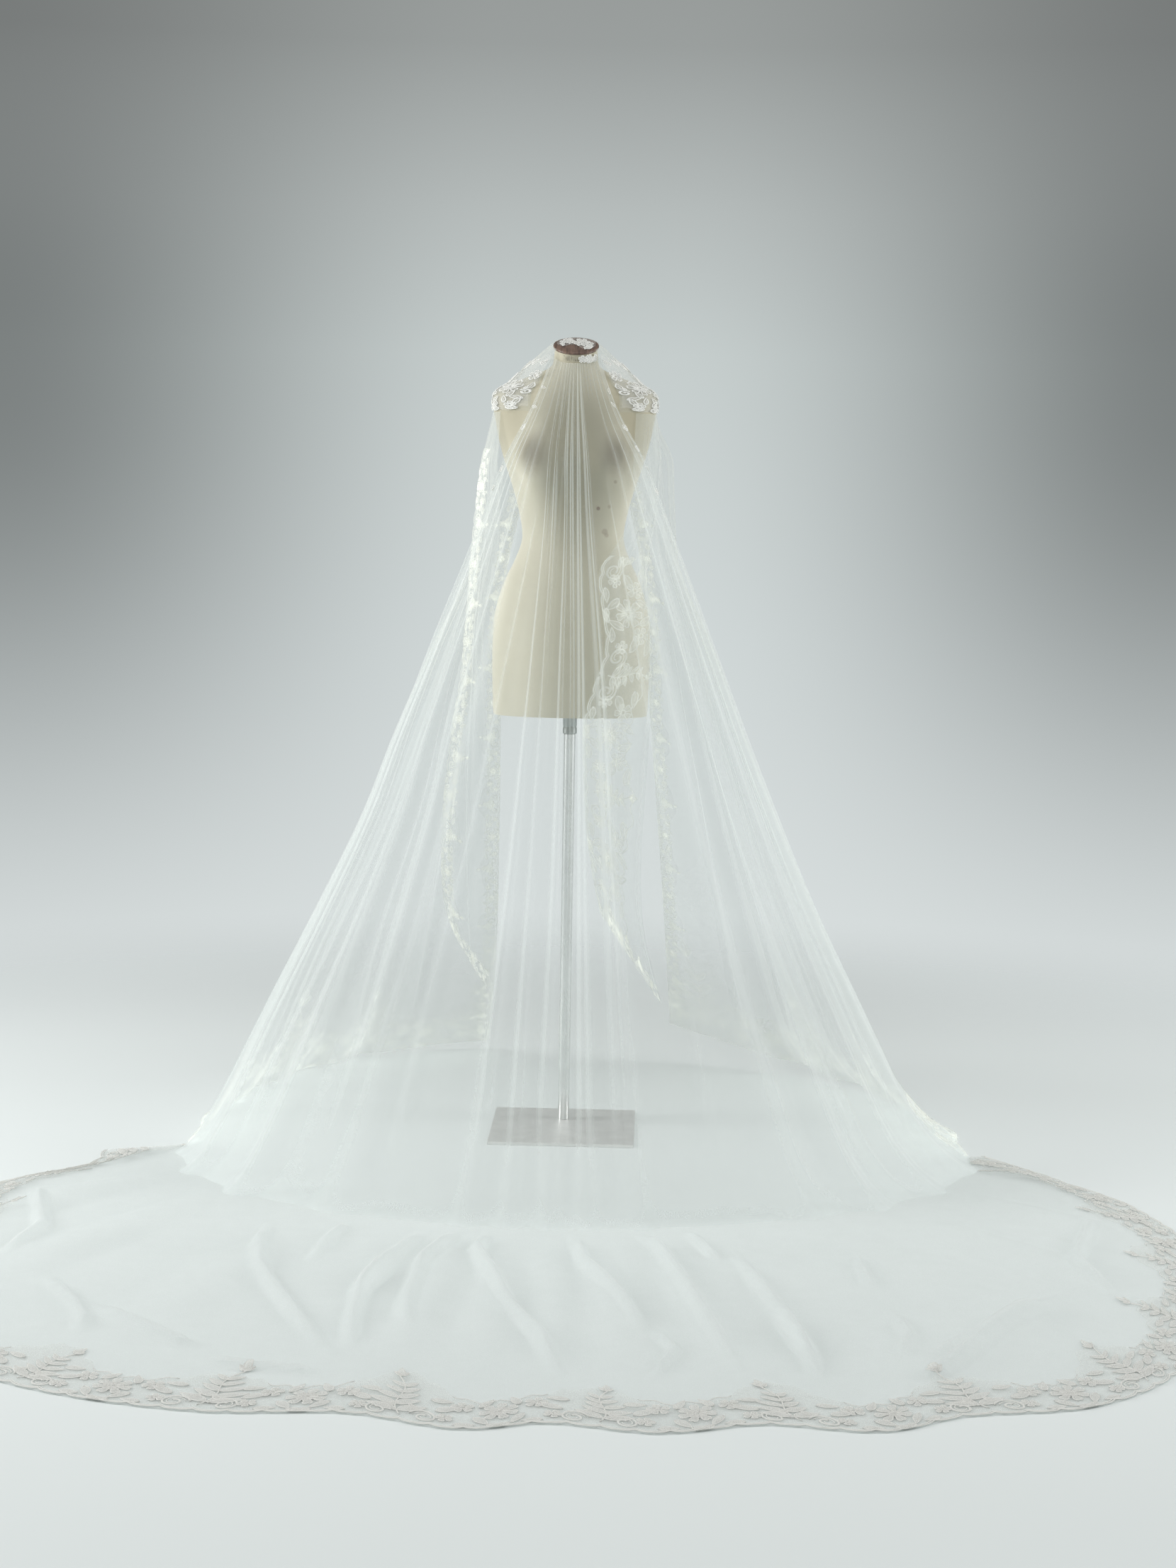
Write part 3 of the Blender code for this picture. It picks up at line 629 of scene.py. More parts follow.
def smooth_rows(table: Array, positions: Array) -> Array:
    """Read rows of a table at fractional positions, smooth from row to row.

    Args:
        table: One row for each section.
        positions: Where to read, counted in rows.

    Returns:
        One row for each position.
    """
    last = len(table) - 1
    held = np.clip(positions, 0.0, last)
    index = np.minimum(held.astype(int), last - 1)
    share = (held - index)[:, None]
    before, start, end, after = (table[np.clip(index + step, 0, last)] for step in (-1, 0, 1, 2))
    bend = 2 * before - 5 * start + 4 * end - after
    twist = 3 * start - before - 3 * end + after
    return start + 0.5 * share * ((end - before) + share * (bend + share * twist))


def smooth_value(table: Array, places: Array) -> Array:
    """Return a table's second column at places in its first, smooth from row to row."""
    return smooth_rows(table, np.interp(places, table[:, 0], np.arange(len(table))))[:, 1]


def even_positions(table: Array, column: int, spacing: float) -> Array:
    """Choose where a table of sections is read, so that the sections lie evenly.

    Args:
        table: One row for each section.
        column: The column that is evenly spaced.
        spacing: About how far apart the sections lie in it.

    Returns:
        Fractional row positions.
    """
    places = [0.0]
    for index, (here, there) in enumerate(zip(table[:, column], table[1:, column])):
        parts = max(2, math.ceil(abs(there - here) / spacing))
        places.extend(index + (step + 1) / parts for step in range(parts))
    return np.array(places)


def bell(distance: Array) -> Array:
    """Return a hump of height 1 that ends at a distance of 1 either way."""
    near = np.clip(np.abs(distance), 0.0, 1.0)
    return 0.5 * (1.0 + np.cos(np.pi * near))


def fold_height(folds: Sequence[Triple], across: Array) -> Array:
    """Return how far the folds, each a place, a width and a height, lift the cloth."""
    return sum(height * bell((across - place) / width) for place, width, height in folds)


@dataclass(frozen=True)
class Streak:
    """A narrow fold that wanders as it runs: heights with the place across at each, and its size."""

    levels: tuple[float, ...]
    places: tuple[float, ...]
    width: float
    height: float

    def lift(self, level: Array, across: Array) -> Array:
        """Work out how far the fold lifts the cloth.

        Args:
            level: The height of each point.
            across: Its place across the cloth.

        Returns:
            The lift of each point.
        """
        knots = np.array(self.places)[:, None]
        rank = np.interp(-level, -np.array(self.levels), np.arange(len(knots)))
        centre = smooth_rows(knots, rank.ravel()).reshape(rank.shape)
        lower, upper = level - min(self.levels), max(self.levels) - level
        fade = np.clip(lower / 0.1 + 0.15, 0.0, 1.0) * np.clip(upper / 0.1 + 0.15, 0.0, 1.0)
        return self.height * fade * bell((across - centre) / self.width)


def vectors(x: Array, y: Array, z: Array | float) -> Array:
    """Return points from their three parts, which are spread to one shape."""
    return np.stack(np.broadcast_arrays(x, y, z), axis=-1)


def unit(steps: Array) -> Array:
    """Return vectors at a length of 1."""
    return steps / np.maximum(np.linalg.norm(steps, axis=-1, keepdims=True), 1e-12)


def grid_normals(points: Array) -> Array:
    """Return a unit normal for each point of a grid."""
    return unit(np.cross(np.gradient(points, axis=0), np.gradient(points, axis=1)))


def gaps(points: Array, axis: int) -> Array:
    """Return the distances between neighbours along one axis of a grid."""
    return np.linalg.norm(np.diff(points, axis=axis), axis=-1)


def travelled(points: Array, axis: int) -> Array:
    """Return the distance covered along one axis of a grid, from 0 at its start."""
    covered = gaps(points, axis).cumsum(axis=axis)
    return np.insert(covered, 0, 0.0, axis=axis)


def flat_size(points: Array) -> Pair:
    """Return the mean length of a grid's rows and of its columns."""
    return float(gaps(points, 1).sum(axis=1).mean()), float(gaps(points, 0).sum(axis=0).mean())


def read_columns(places: Array, knots: Array, columns: Array) -> Array:
    """Return columns of values that are known at rising knots, read at other places."""
    return np.stack([np.interp(places, knots, column) for column in columns.T], axis=-1)


FORWARD = (0.0, -1.0, 0.0)
UPWARD = (0.0, 0.0, 1.0)


@dataclass
class Cloth:
    """A grid of points on a cloth, rows first, with its outward normals."""

    points: Array
    outward: Triple | None = None
    normals: Array = field(init=False)

    def __post_init__(self) -> None:
        """Work out the normals and turn them outward, or away from the pole where no way is given."""
        self.normals = grid_normals(self.points)
        middle = (len(self.points) // 2, self.points.shape[1] // 2)
        away = self.outward or (*self.points[middle][:2], 0.0)
        if float(self.normals[middle] @ np.array(away)) < 0:
            self.points = self.points[:, ::-1]
            self.normals = grid_normals(self.points)


def mesh_object(
    name: str,
    points: Array,
    faces: Array,
    materials: Sequence[Material],
    layers: Array | None = None,
    flat: Array | None = None,
) -> Piece:
    """Make a smooth-shaded mesh object.

    Args:
        name: The piece's name.
        points: Its points.
        faces: Its faces, as rows of point numbers.
        materials: Its materials.
        layers: The material number of each face.
        flat: Each point's place on the laid-out cloth.

    Returns:
        The object, linked into the scene.
    """
    mesh = bpy.data.meshes.new(name)
    mesh.from_pydata(points.tolist(), [], faces.tolist() if isinstance(faces, np.ndarray) else faces)
    for material in materials:
        mesh.materials.append(material)
    if layers is not None:
        mesh.polygons.foreach_set("material_index", np.asarray(layers, dtype=np.int32))
    if flat is not None:
        corners = np.empty(len(mesh.loops), dtype=np.int32)
        mesh.loops.foreach_get("vertex_index", corners)
        mesh.uv_layers.new(name="flat").data.foreach_set("uv", flat[corners].astype(np.float32).ravel())
    mesh.shade_smooth()
    mesh.update()
    made = bpy.data.objects.new(name, mesh)
    bpy.context.scene.collection.objects.link(made)
    LOG.info("%s: %d points, %d faces", name, len(mesh.vertices), len(mesh.polygons))
    return made


def grid_faces(rows: int, columns: int, closed: bool = False) -> Array:
    """List the quads of a grid.

    Args:
        rows: Its rows of points.
        columns: Its columns of points.
        closed: Whether its last column joins its first.

    Returns:
        Four point numbers for each quad.
    """
    reach = columns if closed else columns - 1
    j, i = np.meshgrid(np.arange(rows - 1), np.arange(reach), indexing="ij")
    n = (i + 1) % columns
    quads = (j * columns + i, (j + 1) * columns + i, (j + 1) * columns + n, j * columns + n)
    return np.stack(quads, axis=-1).reshape(-1, 4)


# Lace charts: a flat border in metres, along and in from an edge, that lies on a cloth


@dataclass
class Chart:
    """A grid of places on a cloth, evenly spaced along (columns) and in from an edge (rows)."""

    points: Array
    normals: Array
    length: float
    depth: float

    @classmethod
    def border(
        cls, cloth: Cloth, edge: Edge, depth: float, start: float = 0.0, stop: float = 1.0,
    ) -> "Chart":
        """Lay a chart along one edge of a cloth.

        Args:
            cloth: The cloth.
            edge: The edge that the border follows.
            depth: How far the chart reaches in from the edge.
            start: Where the border starts, as a share of the edge.
            stop: Where it ends.

        Returns:
            The chart.
        """
        views = {
            Edge.BOTTOM: lambda grid: grid[::-1].transpose(1, 0, 2),
            Edge.FIRST: lambda grid: grid,
            Edge.LAST: lambda grid: grid[:, ::-1],
        }
        view = views[edge]
        lines, normals = view(cloth.points), view(cloth.normals)
        first, last = int(start * (len(lines) - 1)), int(stop * (len(lines) - 1)) + 1
        lines, normals = lines[first:last], normals[first:last]
        inward = np.linspace(0.0, depth, max(4, math.ceil(depth / CHART_STEP)))
        packed = np.concatenate((lines, normals), axis=2)
        laid = np.array([read_columns(inward, travelled(line[:, :3], 0), line) for line in packed])
        travel = travelled(laid[:, len(inward) // 3, :3], 0)
        length = float(travel[-1])
        along = np.linspace(0.0, length, max(4, math.ceil(length / CHART_STEP)))
        even = read_columns(along, travel, laid.reshape(len(laid), -1)).reshape(len(along), -1, 6)
        return cls(even[..., :3], unit(even[..., 3:]), length, depth)

    @classmethod
    def patch(cls, cloth: Cloth, rows: Pair, columns: Pair) -> "Chart":
        """Lay a chart on a part of a cloth.

        Args:
            cloth: The cloth.
            rows: Its first and last row, as shares of the cloth.
            columns: Its first and last column, in the same way.

        Returns:
            The chart.
        """
        tall, wide = cloth.points.shape[:2]
        low, high = (int(share * (tall - 1)) for share in rows)
        left, right = (int(share * (wide - 1)) for share in columns)
        points = cloth.points[low:high + 1, left:right + 1].transpose(1, 0, 2)
        normals = cloth.normals[low:high + 1, left:right + 1].transpose(1, 0, 2)
        depth, length = flat_size(points)
        return cls(points, normals, length, depth)

    def turned(self, along: bool = False) -> "Chart":
        """Return the chart seen from its inner edge, and from its far end too if asked."""
        way = slice(None, None, -1 if along else 1)
        return Chart(self.points[way, ::-1], self.normals[way, ::-1], self.length, self.depth)

    def lay(self, flat: Array, lift: Array | float) -> Array:
        """Lay flat points on the cloth.

        Args:
            flat: Their places on the chart.
            lift: How far they stand off the cloth.

        Returns:
            Their places on the cloth.
        """
        wide, deep = self.points.shape[:2]
        s = np.clip(flat[:, 0] / self.length, 0.0, 1.0) * (wide - 1)
        t = np.clip(flat[:, 1] / self.depth, 0.0, 1.0) * (deep - 1)
        i, j = np.minimum(s.astype(int), wide - 2), np.minimum(t.astype(int), deep - 2)
        a, b = (s - i)[:, None], (t - j)[:, None]
        placed = []
        for grid in (self.points, self.normals):
            near = grid[i, j] * (1 - a) + grid[i + 1, j] * a
            far = grid[i, j + 1] * (1 - a) + grid[i + 1, j + 1] * a
            placed.append(near * (1 - b) + far * b)
        return placed[0] + placed[1] * np.reshape(lift, (-1, 1))


@dataclass(frozen=True)
class Stroke:
    """A cord laid along a flat path."""

    path: Array
    width: float
    rise: float


@dataclass(frozen=True)
class Blade:
    """A filled petal or leaf: its rim and its domed middle."""

    rim: Array
    rise: float


@dataclass
class Draft:
    """A lace design on the flat: cords and filled petals."""

    strokes: list[Stroke] = field(default_factory=list)
    blades: list[Blade] = field(default_factory=list)

    def cord(self, path: Array, width: float, rise: float) -> None:
        """Lay a cord along a path."""
        self.strokes.append(Stroke(np.asarray(path, dtype=float), width, rise))

    def fill(self, rim: Array, rise: float) -> None:
        """Fill a rim with close work."""
        self.blades.append(Blade(np.asarray(rim, dtype=float), rise))

    def stamp(self, other: "Draft", place: Pair, turn: float = 0.0, size: float = 1.0,
              mirror: bool = False) -> None:
        """Add a copy of another design.

        Args:
            other: The design.
            place: Where its foot or centre comes.
            turn: How far it is turned, in radians.
            size: How far it is scaled.
            mirror: Whether it is mirrored first.
        """
        cos, sin = math.cos(turn) * size, math.sin(turn) * size
        flip = -1.0 if mirror else 1.0
        frame = np.array(((cos * flip, sin * flip), (-sin, cos)))
        for stroke in other.strokes:
            self.cord(stroke.path @ frame + place, stroke.width * size ** 0.5, stroke.rise)
        for blade in other.blades:
            self.fill(blade.rim @ frame + place, blade.rise)

    def clip(self, low: float, high: float) -> "Draft":
        """Leave out what starts or ends outside a range along the border.

        Args:
            low: Where the range starts.
            high: Where it ends.

        Returns:
            What is left of the design.
        """
        def within(line: Array) -> bool:
            """Tell whether a line stays in the range."""
            return low <= line[:, 0].min() and line[:, 0].max() <= high

        strokes = [stroke for stroke in self.strokes if within(stroke.path)]
        return Draft(strokes, [blade for blade in self.blades if within(blade.rim)])


# Motifs, each drawn about its own foot or centre


def pairs(across: Array, up: Array) -> Array:
    """Return flat points from their two parts."""
    return np.stack((across, up), axis=1)


def ring_path(radius: float, steps: int) -> Array:
    """Return points round a circle, the first one again at the end."""
    angles = np.linspace(0.0, 2 * math.pi, steps + 1)
    return pairs(radius * np.cos(angles), radius * np.sin(angles))


def leaf(length: float, width: float, bend: float = 0.2, steps: int = 6, cord: float = 0.0022) -> Draft:
    """Draw a leaf that grows up from its foot, with a cord round it and a rib.

    Args:
        length: Its length.
        width: Its width.
        bend: How far its tip leans aside, as a share of its length.
        steps: Parts of each side.
        cord: The width of its cord.

    Returns:
        The leaf.
    """
    draft = Draft()
    share = np.linspace(0.0, 1.0, steps + 1)
    spine = pairs(bend * share ** 2 * length, share * length)
    half = width / 2 * np.sin(np.pi * share ** 0.8)
    aside = pairs(half, np.zeros_like(half))
    rim = np.concatenate((spine + aside, (spine - aside)[-2:0:-1]))
    draft.fill(rim, 0.0012)
    draft.cord(np.concatenate((rim, rim[:1])), cord, 0.0016)
    draft.cord(spine[:-1:2], cord * 0.7, 0.0014)
    return draft


def flower(radius: float, petals: int, cord: float = 0.0023) -> Draft:
    """Draw an open flower with rounded petals, corded rims and a ringed heart.

    Args:
        radius: Its radius.
        petals: How many petals it has.
        cord: The width of its cords.

    Returns:
        The flower.
    """
    draft = Draft()
    heart = radius * 0.26
    for index in range(petals):
        angle = 2 * math.pi * index / petals
        spread = math.pi / petals * 0.98
        turns = np.linspace(-1.0, 1.0, 9)
        reach = heart + (radius - heart) * (1 - np.abs(turns) ** 2.6) ** 0.5
        reach *= 1 - 0.09 * bell(turns * 3.2)
        around = angle + spread * turns * (0.45 + 0.55 * reach / radius)
        rim = pairs(reach * np.cos(around), reach * np.sin(around))
        draft.fill(rim, 0.0013)
        draft.cord(rim, cord, 0.0017)
        vein = np.array(((heart, 0.0), (radius * 0.72, 0.0)))
        turn = np.array(((math.cos(angle), math.sin(angle)), (-math.sin(angle), math.cos(angle))))
        draft.cord(vein @ turn, cord * 0.6, 0.0014)
    draft.cord(ring_path(heart, 10), cord, 0.0019)
    draft.fill(ring_path(heart * 0.62, 6)[:-1], 0.0022)
    return draft


def scroll(radius: float, turns: float = 1.35, cord: float = 0.0034) -> Draft:
    """Draw a scroll that rises from its foot and curls in on itself, with a leaf on its back.

    Args:
        radius: The radius of its outer turn.
        turns: How many turns it makes.
        cord: The width of its cord.

    Returns:
        The scroll.
    """
    draft = Draft()
    share = np.linspace(0.0, 1.0, 20)
    angle = np.pi - 2 * math.pi * turns * share
    reach = radius * (1 - 0.78 * share ** 0.9)
    inner = reach - cord * 1.8
    for line, stop, width, rise in ((reach, 20, cord, 0.002), (inner, 14, cord * 0.5, 0.0014)):
        curl = pairs(radius + line * np.cos(angle), radius * 0.9 + line * np.sin(angle))
        draft.cord(curl[:stop], width, rise)
    draft.stamp(leaf(radius * 0.9, radius * 0.42, -0.3), (radius * 0.25, radius * 1.55), 0.5)
    return draft


def spray(height: float, leaf_pairs: int = 5) -> Draft:
    """Draw an upright spray: a swaying stem, leaves in pairs and a bud at its tip.

    Args:
        height: Its height.
        leaf_pairs: How many pairs of leaves it has.

    Returns:
        The spray.
    """
    draft = Draft()
    share = np.linspace(0.0, 1.0, 15)
    sway = 0.045 * height * np.sin(2.2 * np.pi * share)
    draft.cord(pairs(sway, share * height * 0.86), 0.0026, 0.0018)
    for index in range(leaf_pairs):
        up = 0.1 + 0.74 * index / leaf_pairs
        foot = (0.045 * height * math.sin(2.2 * math.pi * up), up * height * 0.86)
        size = height * (0.3 - 0.035 * index)
        for way in (-1.0, 1.0):
            blade = leaf(size, size * 0.36, 0.25)
            draft.stamp(blade, foot, -way * (0.95 - 0.07 * index), mirror=way < 0)
    draft.stamp(leaf(height * 0.17, height * 0.075, 0.0), (0.0, height * 0.84))
    bud = leaf(height * 0.11, height * 0.045, steps=5)
    for way in (-1.0, 1.0):
        draft.stamp(bud, (0.0, height * 0.83), -way * 0.55, mirror=way < 0)
    return draft


# Leaves of a border's half repeat: place along and inward as shares, turn in radians, length at full size
BORDER_LEAVES = (
    (0.36, 0.52, 0.9, 0.04), (0.74, 0.38, 2.3, 0.036), (0.8, 0.72, 0.3, 0.034),
    (0.28, 0.86, 1.2, 0.034), (0.56, 0.12, 1.35, 0.03), (0.88, 0.1, 1.75, 0.03),
)


@dataclass(frozen=True)
class BorderStyle:
    """How a lace border is laid out along its edge."""

    repeat: float = 0.29
    depth: float = 0.11
    peak: float = 0.205
    scallops: int = 6
    scallop_depth: float = 0.007
    size: float = 1.0

    def inner_edge(self, along: Array) -> Array:
        """Work out how far in the ground reaches.

        Args:
            along: The places.

        Returns:
            The depth at each place.
        """
        rise = np.abs(np.cos(np.pi * along / self.repeat)) ** 3
        ripple = 0.006 * np.sin(along * 2 * np.pi / 0.047) * self.size
        taller = 0.7 + 0.16 * np.sin(along * 2.9 / self.repeat + 0.6)
        return self.depth * 0.92 + ripple + (self.peak - self.depth) * taller * rise

    def outer_edge(self, along: Array) -> Array:
        """Return where the scalloped outer edge lies at each place along the border."""
        wave = np.abs(np.sin(np.pi * along * self.scallops / self.repeat)) ** 0.7
        return self.scallop_depth * (1 - wave)

    def one_repeat(self, draws: random.Random) -> Draft:
        """Draw one repeat of the border, centred on its spray.

        Args:
            draws: The seeded draws that vary its turns and sizes.

        Returns:
            The repeat.
        """
        draft = Draft()
        size, half = self.size, self.repeat / 2
        tall = self.peak - 0.028 * size
        tilt = draws.uniform(-0.2, 0.2)
        draft.stamp(spray(tall), (0.0, 0.022 * size), tilt, draws.uniform(0.86, 1.02), mirror=tilt > 0)
        for way in (-1.0, 1.0):
            mirror = way < 0
            draft.stamp(scroll(0.024 * size), (way * 0.01 * size, 0.012 * size), -way * 0.15, mirror=mirror)
            for radius, along, deep in ((0.0175, 0.62, 0.74), (0.0135, 0.46, 0.33)):
                place = (way * half * along, self.depth * deep)
                draft.stamp(flower(radius * size, 5), place, draws.uniform(0.0, 1.2))
            for along, deep, turn, long in BORDER_LEAVES:
                blade = leaf(long * size, long * 0.4 * size)
                turned = -way * (turn + draws.uniform(-0.12, 0.12))
                draft.stamp(blade, (way * half * along, self.depth * deep), turned, mirror=mirror)
        draft.stamp(flower(0.03 * size, 7), (half, self.depth * 0.54), draws.uniform(0.0, 0.9))
        draft.stamp(flower(0.016 * size, 7, 0.0018), (half, self.depth * 0.54), 0.3)
        return draft

    def draft(self, length: float, seed: int) -> Draft:
        """Draw the border.

        Args:
            length: The length of its edge.
            seed: The seed of its draws.

        Returns:
            The design.
        """
        draws = random.Random(seed)
        whole = Draft()
        count = max(1, round(length / self.repeat))
        for index in range(count + 1):
            whole.stamp(self.one_repeat(draws), (index * self.repeat, 0.0))
        whole = whole.clip(0.002, length - 0.002)
        along = np.arange(0.0, length, self.repeat / self.scallops / 6)
        edge = self.outer_edge(along)
        for inset, width in ((0.0006, 0.003), (0.0052, 0.0018)):
            whole.cord(pairs(along, edge + inset), width * self.size ** 0.5, 0.0018)
        rim = along[self.inner_edge(along) < self.depth * 1.12]
        for chunk in np.split(rim, np.where(np.diff(rim) > 0.02)[0] + 1):
            if len(chunk) > 3:
                whole.cord(pairs(chunk, self.inner_edge(chunk) - 0.002), 0.0018, 0.0014)
        return whole


# A narrow border for the free edges
NARROW = BorderStyle(repeat=0.16, depth=0.03, peak=0.055, scallops=5, scallop_depth=0.004, size=0.42)


@dataclass
class LaceSewer:
    """Collects the meshes of one lace piece and makes its object."""

    name: str
    cord_size: float = 1.0
    points: list[Array] = field(default_factory=list)
    faces: list[list[int]] = field(default_factory=list)
    layers: list[int] = field(default_factory=list)
    flat: list[Array] = field(default_factory=list)
    count: int = 0
    ground_step: float = 0.0075
    ground_rows: int = 12
    sharp: float = math.radians(100.0)

    def _add(self, points: Array, flat: Array, faces: list[list[int]], layer: LaceLayer) -> None:
        """Add points and faces.

        Args:
            points: The points.
            flat: Their places on the chart.
            faces: The faces, as numbers within these points.
            layer: The layer they belong to.
        """
        self.points.append(points)
        self.flat.append(flat)
        self.faces.extend([number + self.count for number in face] for face in faces)
        self.layers.extend([layer.value] * len(faces))
        self.count += len(points)

    def ground(self, chart: Chart, outer: Curve, inner: Curve, inset: float = 0.0) -> None:
        """Lay the light ground between two edges of a border.

        Args:
            chart: Where the border lies.
            outer: Where its outer edge runs at each place along it.
            inner: Where its inner edge runs.
            inset: How far the ground stays from both ends.
        """
        reach = chart.length - 2 * inset
        along = np.linspace(inset, chart.length - inset, max(8, int(reach / self.ground_step)))
        low, high = outer(along), np.minimum(inner(along), chart.depth)
        deep = low + (high - low) * np.linspace(0.0, 1.0, self.ground_rows)[:, None]
        flat = np.stack((np.broadcast_to(along, deep.shape), deep), axis=-1).reshape(-1, 2)
        faces = grid_faces(self.ground_rows, len(along)).tolist()
        self._add(chart.lay(flat, GROUND_LIFT), flat, faces, LaceLayer.GROUND)

    def embroider(self, chart: Chart, draft: Draft) -> None:
        """Lay a design's cords and petals.

        Args:
            chart: Where it lies.
            draft: The design.
        """
        for blade in draft.blades:
            middle = blade.rim.mean(axis=0)
            ring = middle + (blade.rim - middle) * 0.55
            flat = np.concatenate((blade.rim, ring, middle[None]))
            count = len(blade.rim)
            lift = np.full(len(flat), GROUND_LIFT + CORD_LIFT)
            lift[count:2 * count] += blade.rise * 0.7
            lift[-1] += blade.rise
            faces = []
            for i in range(count):
                n = (i + 1) % count
                faces.append([i, n, count + n, count + i])
                faces.append([count + i, count + n, 2 * count])
            self._add(chart.lay(flat, lift), flat, faces, LaceLayer.PETAL)
        for stroke in draft.strokes:
            self._cord(chart, stroke)

    def _cord(self, chart: Chart, stroke: Stroke) -> None:
        """Lay one cord, a low closed prism along its path.

        Args:
            chart: Where it lies.
            stroke: The cord.
        """
        path = stroke.path
        run = unit(np.gradient(path, axis=0))
        aside = pairs(-run[:, 1], run[:, 0]) * stroke.width * self.cord_size / 2
        flat = np.concatenate((path - aside, path, path + aside))
        count = len(path)
        lift = np.full(3 * count, GROUND_LIFT + CORD_LIFT * 0.6)
        lift[count:2 * count] += min(stroke.rise, 0.45 * stroke.width)
        faces = []
        for i in range(count - 1):
            n = i + 1
            faces.append([i, n, count + n, count + i])
            faces.append([count + i, count + n, 2 * count + n, 2 * count + i])
            faces.append([2 * count + i, 2 * count + n, n, i])
        faces.append([0, count, 2 * count])
        faces.append([3 * count - 1, 2 * count - 1, count - 1])
        self._add(chart.lay(flat, lift), flat, faces, LaceLayer.CORD)

    def border(self, chart: Chart, style: BorderStyle, seed: int) -> None:
        """Lay a whole border, its ground and its design.

        Args:
            chart: Where it lies.
            style: How it is laid out.
            seed: The seed of its draws.
        """
        self.ground(chart, style.outer_edge, style.inner_edge)
        self.embroider(chart, style.draft(chart.length, seed))

    def sew(self, materials: Sequence[Material]) -> Piece:
        """Make the piece's object.

        Args:
            materials: The finishes of its layers.

        Returns:
            The object.
        """
        points, flat = np.concatenate(self.points), np.concatenate(self.flat)
        made = mesh_object(self.name, points, self.faces, materials, np.array(self.layers), flat)
        made.data.set_sharp_from_angle(angle=self.sharp)
        return made


def stand_for(node: str) -> None:
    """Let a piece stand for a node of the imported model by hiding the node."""
    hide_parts(node)


# The dress form: height, half width, reach ahead, reach behind and tilt of each ring
FORM_RINGS = np.array((
    (0.868, 0.16, 0.105, 0.115, 0.0), (0.89, 0.1615, 0.108, 0.12, 0.0),
    (0.98, 0.164, 0.112, 0.131, 0.0), (1.06, 0.162, 0.11, 0.128, 0.0),
    (1.11, 0.1515, 0.105, 0.114, 0.0), (1.15, 0.138, 0.101, 0.103, 0.0),
    (1.19, 0.119, 0.095, 0.092, 0.0), (1.235, 0.105, 0.09, 0.085, 0.0),
    (1.29, 0.113, 0.096, 0.09, 0.0), (1.34, 0.127, 0.106, 0.098, 0.0),
    (1.385, 0.142, 0.116, 0.104, 0.0), (1.43, 0.155, 0.112, 0.108, 0.0),
    (1.465, 0.162, 0.101, 0.108, 0.0), (1.49, 0.167, 0.091, 0.105, 0.0),
    (1.512, 0.169, 0.08, 0.099, 0.0), (1.53, 0.164, 0.069, 0.091, 0.0),
    (1.546, 0.14, 0.059, 0.081, 0.0), (1.56, 0.105, 0.052, 0.069, 0.0),
    (1.574, 0.07, 0.048, 0.057, 0.05), (1.586, 0.05, 0.046, 0.049, 0.12),
    (1.605, 0.045, 0.0445, 0.0455, 0.25), (1.6243, 0.0445, 0.0445, 0.0445, 0.4),
))


